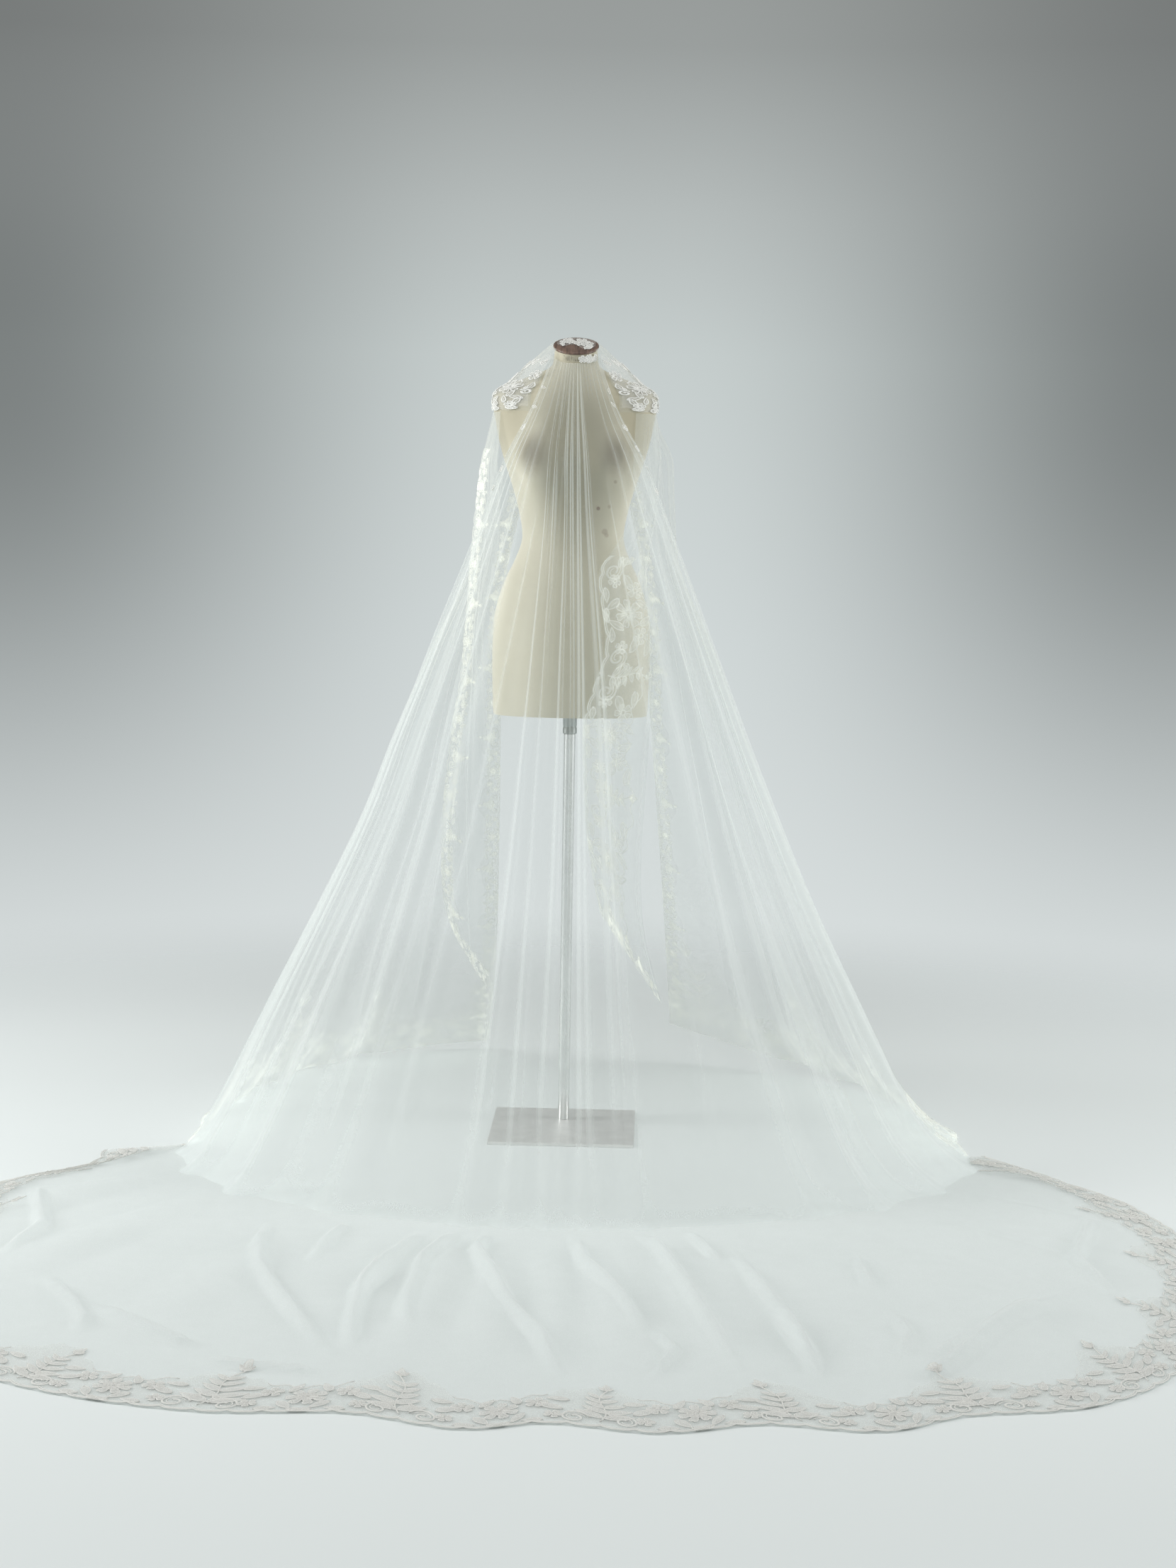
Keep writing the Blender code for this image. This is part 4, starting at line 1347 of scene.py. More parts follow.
@dataclass
class DressForm:
    """The jersey form, its wooden neck cap, the socket and the pole, which stands on the plate."""

    squareness: float = 2.2
    bust_height: float = 1.385
    bust_aside: float = 0.075
    bust_reach: float = 0.033
    bust_spread_aside: float = 0.045
    bust_spread_up: float = 0.05
    segments: int = 108
    turned_segments: int = 64
    rings_between: int = 4
    cap_radius: float = 0.0468
    cap_thickness: float = 0.0055
    cap_bevel: float = 0.0015
    seam_gap: float = 0.0003
    pole_radius: float = 0.012
    socket_radius: float = 0.0145
    socket_height: float = 0.04
    socket_bevel: float = 0.0012
    groove: tuple[float, ...] = (0.012, 0.0135, 0.016, 0.0175)
    groove_depth: float = 0.0008
    pole_bevel: float = 0.0006
    plate_thickness: float = 0.006
    sharp: float = math.radians(38.0)

    def skin(self, angles: Array, positions: Array) -> Array:
        """Return points of the form's skin.

        Args:
            angles: Angles from straight ahead.
            positions: Places between the rings, counted in rings from the bottom.

        Returns:
            A grid, one row for each position.
        """
        height, half, front, back, tilt = (part[:, None] for part in smooth_rows(FORM_RINGS, positions).T)
        power = 2.0 / self.squareness
        aside, ahead = np.sin(angles)[None], np.cos(angles)[None]
        x = half * np.copysign(np.abs(aside) ** power, aside)
        y = -np.where(ahead > 0, front, back) * np.copysign(np.abs(ahead) ** power, ahead)
        rise = np.exp(-((height - self.bust_height) / self.bust_spread_up) ** 2)
        spread = np.exp(-((np.abs(x) - self.bust_aside) / self.bust_spread_aside) ** 2)
        y = y - self.bust_reach * rise * spread * np.maximum(ahead, 0.0)
        return vectors(x, y, height + tilt * y)

    def cap_level(self, y: Array | float) -> Array | float:
        """Return the height of the tilted top of the neck."""
        return FORM_RINGS[-1, 0] + FORM_RINGS[-1, 4] * y

    def cap_ring(self, angles: Array, radius: float, level: float) -> Array:
        """Return a ring of the cap, at a level above the top of the neck."""
        x, y = radius * np.sin(angles), -radius * np.cos(angles)
        return vectors(x, y, self.cap_level(y) + level)

    def _closed(self, name: str, grid: Array, material: Material) -> Piece:
        """Join rings of points into one closed solid with flat, sharp-edged ends.

        Args:
            name: The piece's name.
            grid: The rings, bottom first.
            material: Its finish.

        Returns:
            The object.
        """
        rows, columns = grid.shape[:2]
        faces = [face[::-1] for face in grid_faces(rows, columns, closed=True).tolist()]
        faces.append(list(range(columns))[::-1])
        faces.append([(rows - 1) * columns + i for i in range(columns)])
        made = mesh_object(name, grid.reshape(-1, 3), faces, [material])
        made.data.set_sharp_from_angle(angle=self.sharp)
        return made

    def _turned(self, name: str, outline: Sequence[Pair], material: Material) -> Piece:
        """Turn an outline about the pole's axis.

        Args:
            name: The piece's name.
            outline: Its radius and height at each corner, bottom first.
            material: Its finish.

        Returns:
            The object.
        """
        angles = np.linspace(0.0, 2 * math.pi, self.turned_segments, endpoint=False)
        aside, ahead = np.sin(angles), -np.cos(angles)
        rings = [vectors(radius * aside, radius * ahead, level) for radius, level in outline]
        return self._closed(name, np.array(rings), material)

    def build(self, wardrobe: Wardrobe) -> list[Piece]:
        """Make the form and its stand.

        Args:
            wardrobe: The finishes.

        Returns:
            The pieces.
        """
        angles = np.linspace(0.0, 2 * math.pi, self.segments, endpoint=False)
        steps = (len(FORM_RINGS) - 1) * self.rings_between
        skin = self.skin(angles, np.arange(steps + 1) / self.rings_between)
        torso = self._closed("dress_form", skin, wardrobe.jersey)
        bottom, top = self.seam_gap, self.seam_gap + self.cap_thickness
        radius, ease = self.cap_radius, self.cap_bevel
        soft = ease * 0.3
        outline = (
            (radius - ease, bottom), (radius - soft, bottom + soft), (radius, bottom + ease),
            (radius, top - ease), (radius - soft, top - soft), (radius - ease, top), (radius * 0.5, top),
        )
        rings = np.array([self.cap_ring(angles, reach, level) for reach, level in outline])
        cap = self._closed("neck_cap", rings, wardrobe.wood)
        form_bottom = float(FORM_RINGS[0, 0]) - self.seam_gap
        socket_bottom = form_bottom - self.socket_height
        pole_bottom = self.plate_thickness + self.seam_gap
        wide, edge = self.socket_radius, self.socket_bevel
        narrow = wide - self.groove_depth
        low, inner_low, inner_high, high = (socket_bottom + level for level in self.groove)
        socket = self._turned("stand_socket_ring", [
            (wide - edge, socket_bottom), (wide, socket_bottom + edge), (wide, low), (narrow, inner_low),
            (narrow, inner_high), (wide, high), (wide, form_bottom - edge), (wide - edge, form_bottom),
        ], wardrobe.dark_steel)
        slim, pole_top, edge = self.pole_radius, socket_bottom - self.seam_gap, self.pole_bevel
        pole = self._turned("stand_tube", [
            (slim - edge, pole_bottom), (slim, pole_bottom + edge),
            (slim, pole_top - edge), (slim - edge, pole_top),
        ], wardrobe.pole_steel)
        stand_for("form_torso")
        stand_for("form_neck_cap")
        stand_for("stand_socket")
        stand_for("stand_pole")
        return [torso, cap, socket, pole]


# The veil's stretches of net

FALL_ROWS = np.array((
    (1.5898, 0.0478, 0.0478, -0.012, -0.05, 0.018), (1.53, 0.071, 0.069, -0.078, -0.102, 0.006),
    (1.47, 0.098, 0.096, -0.107, -0.14, 0.0), (1.385, 0.138, 0.144, -0.107, -0.174, 0.0),
    (1.28, 0.176, 0.186, -0.095, -0.194, 0.0), (1.17, 0.218, 0.23, -0.08, -0.22, 0.0),
    (1.0, 0.285, 0.295, -0.085, -0.265, 0.0), (0.83, 0.354, 0.36, -0.1, -0.325, 0.0),
    (0.67, 0.413, 0.425, -0.125, -0.39, 0.0), (0.5, 0.492, 0.498, -0.15, -0.47, 0.0),
    (0.33, 0.575, 0.58, -0.185, -0.56, 0.0), (0.12, 0.675, 0.69, -0.225, -0.68, 0.0),
    (0.03, 0.725, 0.77, -0.24, -0.745, 0.0), (0.0015, 0.76, 0.825, -0.25, -0.795, 0.0),
))
FALL_FOLDS = (
    (-0.93, 0.06, 0.016), (-0.76, 0.06, 0.028), (-0.57, 0.06, 0.03), (-0.36, 0.06, 0.016),
    (-0.14, 0.034, 0.018), (-0.075, 0.03, 0.015), (-0.015, 0.028, 0.018), (0.042, 0.028, 0.018),
    (0.12, 0.034, 0.02), (0.39, 0.06, 0.018), (0.52, 0.055, 0.028), (0.68, 0.06, 0.024),
    (0.88, 0.07, 0.018),
)
NECK_TO_FLOOR = (1.59, 1.3, 1.0, 0.6, 0.1)
FALL_STREAKS = tuple(Streak(*row) for row in (
    (NECK_TO_FLOOR, (-0.3, -0.19, -0.16, -0.145, -0.135), 0.018, 0.011),
    (NECK_TO_FLOOR, (-0.22, -0.13, -0.105, -0.092, -0.078), 0.018, 0.013),
    (NECK_TO_FLOOR, (-0.11, -0.048, -0.036, -0.03, -0.032), 0.017, 0.016),
    (NECK_TO_FLOOR, (-0.04, -0.006, 0.01, 0.012, 0.013), 0.016, 0.016),
    (NECK_TO_FLOOR, (0.05, 0.044, 0.046, 0.042, 0.04), 0.017, 0.016),
    (NECK_TO_FLOOR, (0.11, 0.105, 0.12, 0.112, 0.102), 0.019, 0.016),
    ((1.5, 1.1, 0.88, 0.27, 0.08), (-0.95, -0.93, -0.88, -0.84, -0.83), 0.034, 0.008),
    ((1.5, 1.1, 0.88, 0.4, 0.1), (-0.66, -0.64, -0.62, -0.66, -0.68), 0.036, 0.009),
    ((1.1, 0.9, 0.6, 0.3, 0.05), (0.51, 0.53, 0.55, 0.57, 0.58), 0.036, 0.009),
    ((1.55, 1.2, 0.9, 0.5, 0.1), (0.94, 0.92, 0.9, 0.92, 0.93), 0.034, 0.008),
    ((1.4, 1.1, 0.8, 0.45, 0.1), (-0.44, -0.46, -0.45, -0.43, -0.43), 0.034, 0.007),
    ((1.3, 1.0, 0.7, 0.4, 0.1), (-0.25, -0.27, -0.28, -0.29, -0.29), 0.028, 0.007),
    ((1.35, 1.05, 0.75, 0.4, 0.08), (0.27, 0.29, 0.29, 0.27, 0.26), 0.028, 0.007),
    ((1.2, 0.95, 0.7, 0.4, 0.1), (0.76, 0.78, 0.79, 0.8, 0.8), 0.034, 0.0075),
))
HEM_POINTS = np.array((
    (-71.0, 0.972), (-65.5, 1.02), (-62.0, 1.215), (-56.0, 1.35), (-48.0, 1.5), (-40.0, 1.66),
    (-33.0, 1.775), (-25.0, 1.815), (-16.0, 1.8), (-9.5, 1.75), (-4.0, 1.785), (0.0, 1.752),
    (5.0, 1.79), (10.0, 1.77), (15.0, 1.825), (19.5, 1.8), (25.5, 1.83), (32.0, 1.78),
    (40.0, 1.65), (49.0, 1.5), (56.5, 1.345), (62.0, 1.215), (66.0, 1.08), (74.5, 0.89),
))
TRAIN_RIDGE = 0.55


@dataclass(frozen=True)
class Crease:
    """A soft ridge or trough on the floor: the points that it runs through, its width and height."""

    run: tuple[Pair, ...]
    width: float
    height: float

    def lift(self, x: Array, y: Array) -> Array:
        """Work out how far the crease lifts the cloth.

        Args:
            x: Where each point lies across the floor.
            y: Where it lies towards the back.

        Returns:
            The lift of each point.
        """
        nearest = np.full(x.shape, np.inf)
        taper = np.zeros(x.shape)
        pieces = len(self.run) - 1
        for index, (start, end) in enumerate(zip(self.run, self.run[1:])):
            dx, dy = end[0] - start[0], end[1] - start[1]
            share = np.clip(((x - start[0]) * dx + (y - start[1]) * dy) / (dx * dx + dy * dy), 0.0, 1.0)
            distance = np.hypot(x - start[0] - share * dx, y - start[1] - share * dy)
            closer = distance < nearest
            nearest = np.where(closer, distance, nearest)
            taper = np.where(closer, (index + share) / pieces, taper)
        along = np.clip(np.minimum(taper, 1 - taper) * 5, 0.15, 1.0)
        return 1.3 * self.height * along * bell(nearest / (0.75 * self.width))


TRAIN_CREASES = tuple(Crease(*row) for row in (
    (((-0.24, -0.84), (-0.33, -1.21)), 0.03, 0.011),
    (((-0.16, -0.78), (-0.23, -1.01), (-0.24, -1.27), (-0.23, -1.35)), 0.026, 0.013),
    (((-0.12, -0.82), (-0.14, -0.94), (-0.08, -1.22), (-0.02, -1.39), (0.01, -1.55)), 0.024, 0.014),
    (((0.03, -0.84), (0.05, -1.02), (0.11, -1.21), (0.14, -1.36)), 0.024, 0.013),
    (((0.14, -0.8), (0.18, -0.92), (0.22, -1.18), (0.24, -1.31), (0.28, -1.51)), 0.026, 0.014),
    (((0.23, -0.8), (0.28, -0.98)), 0.024, 0.01),
    (((0.31, -0.93), (0.35, -1.17), (0.38, -1.35), (0.4, -1.48)), 0.026, 0.012),
    (((0.16, -1.36), (0.19, -1.44), (0.15, -1.57)), 0.018, 0.009),
    (((-0.52, -0.81), (-0.52, -0.94), (-0.5, -1.07), (-0.44, -1.23), (-0.34, -1.48)), 0.026, 0.013),
    (((-0.38, -0.8), (-0.4, -0.87), (-0.42, -1.01)), 0.022, 0.01),
    (((-0.28, -0.94), (-0.32, -1.15), (-0.32, -1.33), (-0.31, -1.44)), 0.024, 0.012),
    (((-0.86, -1.11), (-0.77, -1.27), (-0.74, -1.35), (-0.74, -1.4)), 0.022, 0.01),
    (((-0.75, -1.27), (-0.65, -1.37), (-0.58, -1.44), (-0.55, -1.46)), 0.024, 0.011),
    (((-0.54, -1.52), (-0.33, -1.57)), 0.02, 0.009),
    (((0.52, -0.94), (0.53, -1.12)), 0.022, 0.009),
    (((0.36, -1.25), (0.39, -1.42), (0.4, -1.56)), 0.022, 0.01),
    (((0.55, -1.24), (0.56, -1.36), (0.53, -1.46)), 0.022, 0.01),
    (((0.87, -1.1), (0.7, -1.33), (0.6, -1.5), (0.55, -1.55)), 0.034, 0.014),
    (((0.79, -1.19), (0.56, -1.48)), 0.022, 0.009),
    (((0.98, -0.7), (0.9, -0.95), (0.92, -1.12)), 0.028, 0.012),
    (((-0.98, -0.62), (-0.92, -0.84), (-0.95, -1.02)), 0.028, 0.012),
))
SIDE_FOLDS = ((0.16, 0.08, 0.02), (0.34, 0.07, 0.026), (0.5, 0.07, 0.02), (0.66, 0.07, 0.024))
SIDE_STREAKS = tuple(Streak(*row) for row in (
    ((1.3, 0.9, 0.5, 0.1), (0.1, 0.11, 0.12, 0.12), 0.022, 0.008),
    ((1.2, 0.8, 0.4, 0.06), (0.22, 0.25, 0.24, 0.26), 0.02, 0.009),
    ((1.35, 0.95, 0.5, 0.1), (0.43, 0.42, 0.44, 0.42), 0.022, 0.009),
    ((1.1, 0.7, 0.35, 0.08), (0.57, 0.59, 0.58, 0.6), 0.02, 0.01),
    ((1.25, 0.85, 0.45, 0.1), (0.75, 0.74, 0.76, 0.77), 0.02, 0.008),
))
# The free edge of the side stretches: height, then place across and back on the left and on the right
FREE_EDGES = np.array((
    (1.0, -0.15, 0.168, 0.16, 0.17), (0.83, -0.152, 0.205, 0.17, 0.21),
    (0.67, -0.153, 0.255, 0.185, 0.26), (0.5, -0.156, 0.315, 0.2, 0.31),
    (0.33, -0.16, 0.395, 0.215, 0.38), (0.12, -0.175, 0.56, 0.232, 0.48),
    (0.03, -0.185, 0.66, 0.24, 0.54), (0.0, -0.19, 0.7, 0.24, 0.56),
))


@dataclass
class Net:
    """The stretches of net, worked out from the form and from tables of sections."""

    form: DressForm
    full_width: float = 0.79
    side_full_reach: float = 0.6
    side_top: float = 1.483
    mantle_columns: int = 150
    mantle_pleats: int = 30
    start_cap: float = math.radians(54.0)
    start_chest: float = math.radians(30.0)
    comb_waves: int = 26
    comb_top: float = 1.595
    comb_reach: float = 0.055
    close_folds: Pair = (-0.36, 0.24)
    train_rows: int = 96
    gather_waves: int = 14
    gather_steps: int = 14
    gather_half: float = math.radians(33.0)
    gather_depth: float = 0.0022
    gather_lift: float = 0.0008

    def fall_columns(self) -> Array:
        """Choose places across the fall, closer together where the folds are narrow.

        Returns:
            The places, from -1 to 1.
        """
        first, last = self.close_folds
        wide = np.linspace(-1.0, first, 165, endpoint=False)
        close = np.linspace(first, last, 200, endpoint=False)
        return np.concatenate((wide, close, np.linspace(last, 1.0, 196)))

    def fall_points(self, positions: Array, across: Array) -> Array:
        """Work out points of the front fall.

        Args:
            positions: Row positions in the fall's table.
            across: Places across the fall, from -1 to 1.

        Returns:
            A grid of points, one row for each position.
        """
        rows = smooth_rows(FALL_ROWS, positions)
        height, left, right, edge, front, rise = (part[:, None] for part in rows.T)
        across = across[None]
        turn = across * np.pi / 2
        half = left + (right - left) * (across + 1.0) / 2
        share = np.minimum(half / self.full_width, 1.0)
        lift = fold_height(FALL_FOLDS, across) * share
        level = np.broadcast_to(height, lift.shape)
        for streak in FALL_STREAKS:
            lift = lift + streak.lift(level, across) * (0.45 + 0.55 * share)
        below = np.maximum(self.comb_top - height, 0.0)
        comb = np.cos(across * np.pi * self.comb_waves) * np.exp(-below / self.comb_reach)
        lift = lift + 0.0012 * comb * bell(across / 0.75)
        x = (half + lift) * np.sin(turn)
        y = edge + (front - edge - lift) * np.cos(turn)
        return vectors(x, y, height + rise * np.sin(turn) ** 4)

    def fall(self) -> Cloth:
        """Return the front fall."""
        positions = even_positions(FALL_ROWS, 0, 0.017)
        return Cloth(self.fall_points(positions, self.fall_columns()), FORWARD)

    def train(self) -> Cloth:
        """Lay the train on the floor, with its creases.

        Returns:
            Its cloth.
        """
        across = self.fall_columns()
        foot = self.fall_points(np.array((len(FALL_ROWS) - 1.0,)), across)[0]
        first, last = HEM_POINTS[0, 0], HEM_POINTS[-1, 0]
        angle = first + (last - first) * (across + 1.0) / 2
        radius = smooth_value(HEM_POINTS, angle)
        turn = np.radians(angle)
        hem = vectors(radius * np.sin(turn), -radius * np.cos(turn), NET_WALL)
        share = np.linspace(0.0, 1.0, self.train_rows)[:, None]
        grid = foot[None] + (hem - foot)[None] * share[..., None]
        middle = np.sin(np.pi * np.clip(share / 0.86, 0.0, 1.0)) ** 2
        ridge = fold_height(FALL_FOLDS, across)[None] * TRAIN_RIDGE * middle
        calm = np.clip(share * 9, 0.0, 1.0) * np.clip((1 - share) * 8, 0.0, 1.0)
        x, y = grid[..., 0], grid[..., 1]
        for crease in TRAIN_CREASES:
            ridge = ridge + crease.lift(x, y) * calm
        slow = np.sin(9.1 * x + 3.7 * y + 0.8) * np.sin(7.3 * y - 4.1 * x + 2.0)
        swell = slow + np.sin(15.0 * x - 6.0 * y + 1.0) * 0.6
        ridge = ridge + 0.0035 * np.maximum(swell, 0.0) * calm
        grid[..., 2] = NET_WALL + ridge
        return Cloth(grid, UPWARD)

    def mantle(self) -> Cloth:
        """Lay the mantle, taut from the cap to the shoulders and then down the form.

        Returns:
            Its cloth.
        """
        offset = SKIN_GAP + NET_WALL
        across = np.linspace(0.0, 1.0, self.mantle_columns + 1)
        angles = self.start_chest + (2 * np.pi - 2 * self.start_chest) * across
        skin = self.form.skin(angles, np.linspace(17.0, 12.0, 41))
        normals = grid_normals(skin)
        outer = skin * np.array((1.0, 1.0, 0.0))
        normals *= np.sign((normals * outer).sum(axis=2, keepdims=True) + 1e-9)
        lines = (skin + normals * offset)[8:33]
        rim_angles = self.start_cap + (2 * np.pi - 2 * self.start_cap) * across
        rim = self.form.cap_ring(rim_angles, self.form.cap_radius + offset, self.form.cap_thickness)
        share = np.linspace(0.0, 1.0, 22, endpoint=False)[:, None, None]
        taut = rim[None] + (lines[0] - rim)[None] * share
        pleats = 0.5 + 0.5 * np.cos(across * np.pi * self.mantle_pleats)
        taut[..., 2] += 0.0025 * pleats[None] * np.sin(np.pi * share[..., 0])
        return Cloth(np.concatenate((taut, lines)))

    def neck_cloth(self, angles: Array, positions: Array, lift: Array | float) -> Cloth:
        """Lay a cloth on the front of the form.

        Args:
            angles: Angles of its columns from straight ahead.
            positions: Places of its rows, counted in rings of the form.
            lift: How far it stands off the skin.

        Returns:
            The cloth.
        """
        skin = self.form.skin(angles, positions)
        normals = grid_normals(skin)
        normals *= np.sign(-normals[..., 1:2])
        return Cloth(skin + normals * lift, FORWARD)

    def gathers(self) -> Cloth:
        """Lay the row of small gathers on the neck.

        Returns:
            Their cloth.
        """
        count = self.gather_waves * self.gather_steps
        angles = np.linspace(-self.gather_half, self.gather_half, count + 1)
        positions = np.array((19.78, 19.84, 19.9, 19.96, 20.0, 20.12, 20.24, 20.36, 20.48, 20.6, 20.72))
        comb = 0.5 - 0.5 * np.cos(np.arange(count + 1) * 2 * np.pi / self.gather_steps)
        lift = SKIN_GAP + self.gather_lift + self.gather_depth * comb[None, :, None]
        return self.neck_cloth(angles, positions, lift)

    def mantle_edge(self, mantle: Cloth, first: float, last: float, across: Array) -> Array:
        """Find points just under the mantle's lower edge.

        Args:
            mantle: The mantle.
            first: The angle that they start at, in degrees.
            last: The angle that they end at.
            across: Their places between the two, from 0 to 1.

        Returns:
            The points.
        """
        edge = mantle.points[-1] if mantle.points[-1, 0, 0] > 0 else mantle.points[-1, ::-1]
        angle = np.radians(first + (last - first) * across)
        position = (angle - self.start_chest) * self.mantle_columns / (2 * np.pi - 2 * self.start_chest)
        points = read_columns(position, np.arange(len(edge)), edge)
        return points - np.array((0.0, 0.0, 2 * self.form.seam_gap))


@dataclass(frozen=True)
class Trim:
    """A lace border on one edge of a hanging stretch: how deep its chart is and where it starts."""

    style: BorderStyle
    depth: float
    seed: int
    start: float = 0.0


@dataclass
class Stretch:
    """A stretch that hangs from the mantle between two angles, with lace down an edge and along its foot."""

    name: str
    hang: Pair
    held: str
    lace_node: str
    low_edge: bool
    edge_trim: Trim
    foot_trim: Trim
    cord_size: float = field(default=1.0, kw_only=True)

    def hung(self, net: Net, mantle: Cloth, body: Array, across: Array, ease: bool) -> Array:
        """Join a stretch to the mantle's lower edge.

        Args:
            net: The net.
            mantle: The mantle.
            body: The stretch's own rows.
            across: The places of its columns.
            ease: Whether the join bends smoothly outward.

        Returns:
            The rows of the join and the stretch.
        """
        top = net.mantle_edge(mantle, *self.hang, across)
        share = np.linspace(0.0, 1.0, 7)[:-1, None, None]
        bend = share * share * (3 - 2 * share) if ease else share
        joined = top[None] + (body[0] - top)[None] * bend
        joined[..., 2] = top[None, :, 2] + (body[0][None, :, 2] - top[None, :, 2]) * share[..., 0]
        return np.concatenate((joined, body))


@dataclass
class SideStretch(Stretch):
    """A stretch that turns back from the edge of the fall to a free, lace-bordered edge."""

    left: bool
    rise: float
    upper: Array
    columns: int = 130

    def rows(self, net: Net) -> Array:
        """List the stretch's sections, from the shoulder down to the floor.

        Args:
            net: The net, for the edge of the fall.

        Returns:
            One row for each section.
        """
        edge_rows = np.arange(len(FALL_ROWS) - len(FREE_EDGES), len(FALL_ROWS), dtype=float)
        edges = net.fall_points(edge_rows, np.array((-1.0 if self.left else 1.0,)))[:, 0]
        across, deep = (1, 2) if self.left else (3, 4)
        lower = [
            (free[0], edge[0], edge[1] + 2 * net.form.seam_gap, free[across], free[deep])
            for free, edge in zip(FREE_EDGES, edges)
        ]
        return np.concatenate((self.upper, np.array(lower)))

    def cloth(self, net: Net, mantle: Cloth) -> Cloth:
        """Work out the stretch.

        Args:
            net: The net, for the edge of the fall.
            mantle: The mantle that it hangs from.

        Returns:
            Its cloth.
        """
        table = self.rows(net)
        across = np.linspace(0.0, 1.0, self.columns)
        rows = smooth_rows(table, even_positions(table, 0, 0.018))
        height, outer_x, outer_y, free_x, free_y = (part[:, None] for part in rows.T)
        turn = across[None] * np.pi / 2
        width, reach = outer_x - free_x, free_y - outer_y
        opened = reach / net.side_full_reach
        lift = fold_height(SIDE_FOLDS, across)[None] * np.minimum(opened, 1.0)
        level = np.broadcast_to(height, lift.shape)
        for streak in SIDE_STREAKS:
            lift = lift + streak.lift(level, across[None]) * np.minimum(opened + 0.2, 1.0)
        x = free_x + (width + np.copysign(lift, width)) * np.cos(turn)
        y = outer_y + (reach + lift) * np.sin(turn)
        z = height + self.rise * across[None] ** 3 * (1.0 - height / net.side_top)
        body = vectors(x, y, np.maximum(z, FLOOR_GAP))
        return Cloth(self.hung(net, mantle, body, across, ease=True))


@dataclass
class Drape(Stretch):
    """A stretch that hangs straight from a shoulder inside the fall."""

    folds: tuple[Triple, ...]
    table: Array
    columns: int = 72

    def cloth(self, net: Net, mantle: Cloth) -> Cloth:
        """Work out the drape.

        Args:
            net: The net.
            mantle: The mantle that it hangs from.

        Returns:
            Its cloth.
        """
        across = np.linspace(0.0, 1.0, self.columns)
        rows = smooth_rows(self.table, even_positions(self.table, 2, 0.014))
        outer, inner = rows[:, None, :3], rows[:, None, 3:]
        body = outer + (inner - outer) * across[None, :, None]
        down = np.linspace(0.0, 1.0, len(body))[:, None]
        lift = fold_height(self.folds, across)[None] * (0.6 + 0.6 * down)
        body[..., 1] -= lift
        return Cloth(self.hung(net, mantle, body, across, ease=False), FORWARD)


COLLAR = BorderStyle(repeat=0.12, depth=0.028, peak=0.046, scallops=5, scallop_depth=0.003, size=0.42)
SHORT_HEM = BorderStyle(repeat=0.31, depth=0.15, peak=0.31, size=1.25)
WIDE_EDGE = BorderStyle(repeat=0.25, depth=0.105, peak=0.128, scallop_depth=0.006)
DRAPE_FOOT = BorderStyle(repeat=0.16, depth=0.034, peak=0.055, scallops=5, scallop_depth=0.004, size=0.45)
LEFT_SIDE = SideStretch(
    "left_side", (268.0, 204.0), "draped", "lace_left_edge", False,
    Trim(NARROW, 0.06, 23, 0.05), Trim(SHORT_HEM, 0.32, 31), True, 0.02,
    np.array(((1.385, -0.19, 0.014, -0.095, 0.135), (1.28, -0.201, 0.01, -0.115, 0.137),
              (1.17, -0.212, 0.004, -0.138, 0.142))),
)
RIGHT_SIDE = SideStretch(
    "right_side", (92.0, 156.0), "draped", "lace_right_edge", True,
    Trim(NARROW, 0.06, 29, 0.05), Trim(SHORT_HEM, 0.32, 37), False, 0.1,
    np.array(((1.385, 0.206, 0.014, 0.1, 0.135), (1.28, 0.211, 0.01, 0.12, 0.137),
              (1.17, 0.223, 0.004, 0.142, 0.142))),
)
LEFT_DRAPE = Drape(
    "left_drape", (273.0, 297.0), "hung", "lace_left_drape", True,
    Trim(NARROW, 0.06, 41, 0.06), Trim(NARROW, 0.06, 43),
    ((0.3, 0.2, 0.006), (0.7, 0.2, 0.005), (0.52, 0.07, 0.004), (0.14, 0.06, 0.003)),
    np.array((
        (-0.193, -0.02, 1.38, -0.156, -0.074, 1.38), (-0.205, -0.033, 1.26, -0.148, -0.084, 1.26),
        (-0.213, -0.04, 1.15, -0.162, -0.088, 1.15), (-0.219, -0.048, 1.05, -0.178, -0.092, 1.05),
        (-0.227, -0.055, 0.95, -0.176, -0.092, 0.95), (-0.245, -0.064, 0.83, -0.168, -0.092, 0.82),
        (-0.257, -0.07, 0.71, -0.16, -0.092, 0.69), (-0.262, -0.075, 0.6, -0.152, -0.092, 0.55),
        (-0.255, -0.08, 0.48, -0.148, -0.092, 0.41), (-0.23, -0.082, 0.41, -0.162, -0.092, 0.3),
    )),
)
RIGHT_DRAPE = Drape(
    "right_drape", (82.0, 46.0), "hung", "lace_right_drape", True,
    Trim(WIDE_EDGE, 0.128, 47, 0.24), Trim(DRAPE_FOOT, 0.06, 53),
    ((0.3, 0.2, 0.006), (0.7, 0.2, 0.005), (0.08, 0.05, 0.005), (0.5, 0.06, 0.003)),
    np.array((
        (0.18, -0.048, 1.4, 0.121, -0.097, 1.4), (0.172, -0.07, 1.29, 0.116, -0.12, 1.28),
        (0.16, -0.088, 1.215, 0.084, -0.134, 1.215), (0.155, -0.098, 1.16, 0.054, -0.138, 1.16),
        (0.166, -0.11, 1.03, 0.07, -0.142, 1.02), (0.168, -0.114, 0.93, 0.045, -0.142, 0.93),
        (0.164, -0.118, 0.84, 0.028, -0.142, 0.86), (0.158, -0.12, 0.72, 0.03, -0.14, 0.76),
        (0.152, -0.12, 0.59, 0.036, -0.138, 0.66), (0.16, -0.12, 0.44, 0.05, -0.136, 0.56),
        (0.2, -0.12, 0.28, 0.07, -0.134, 0.47),
    )),
    cord_size=1.25,
)


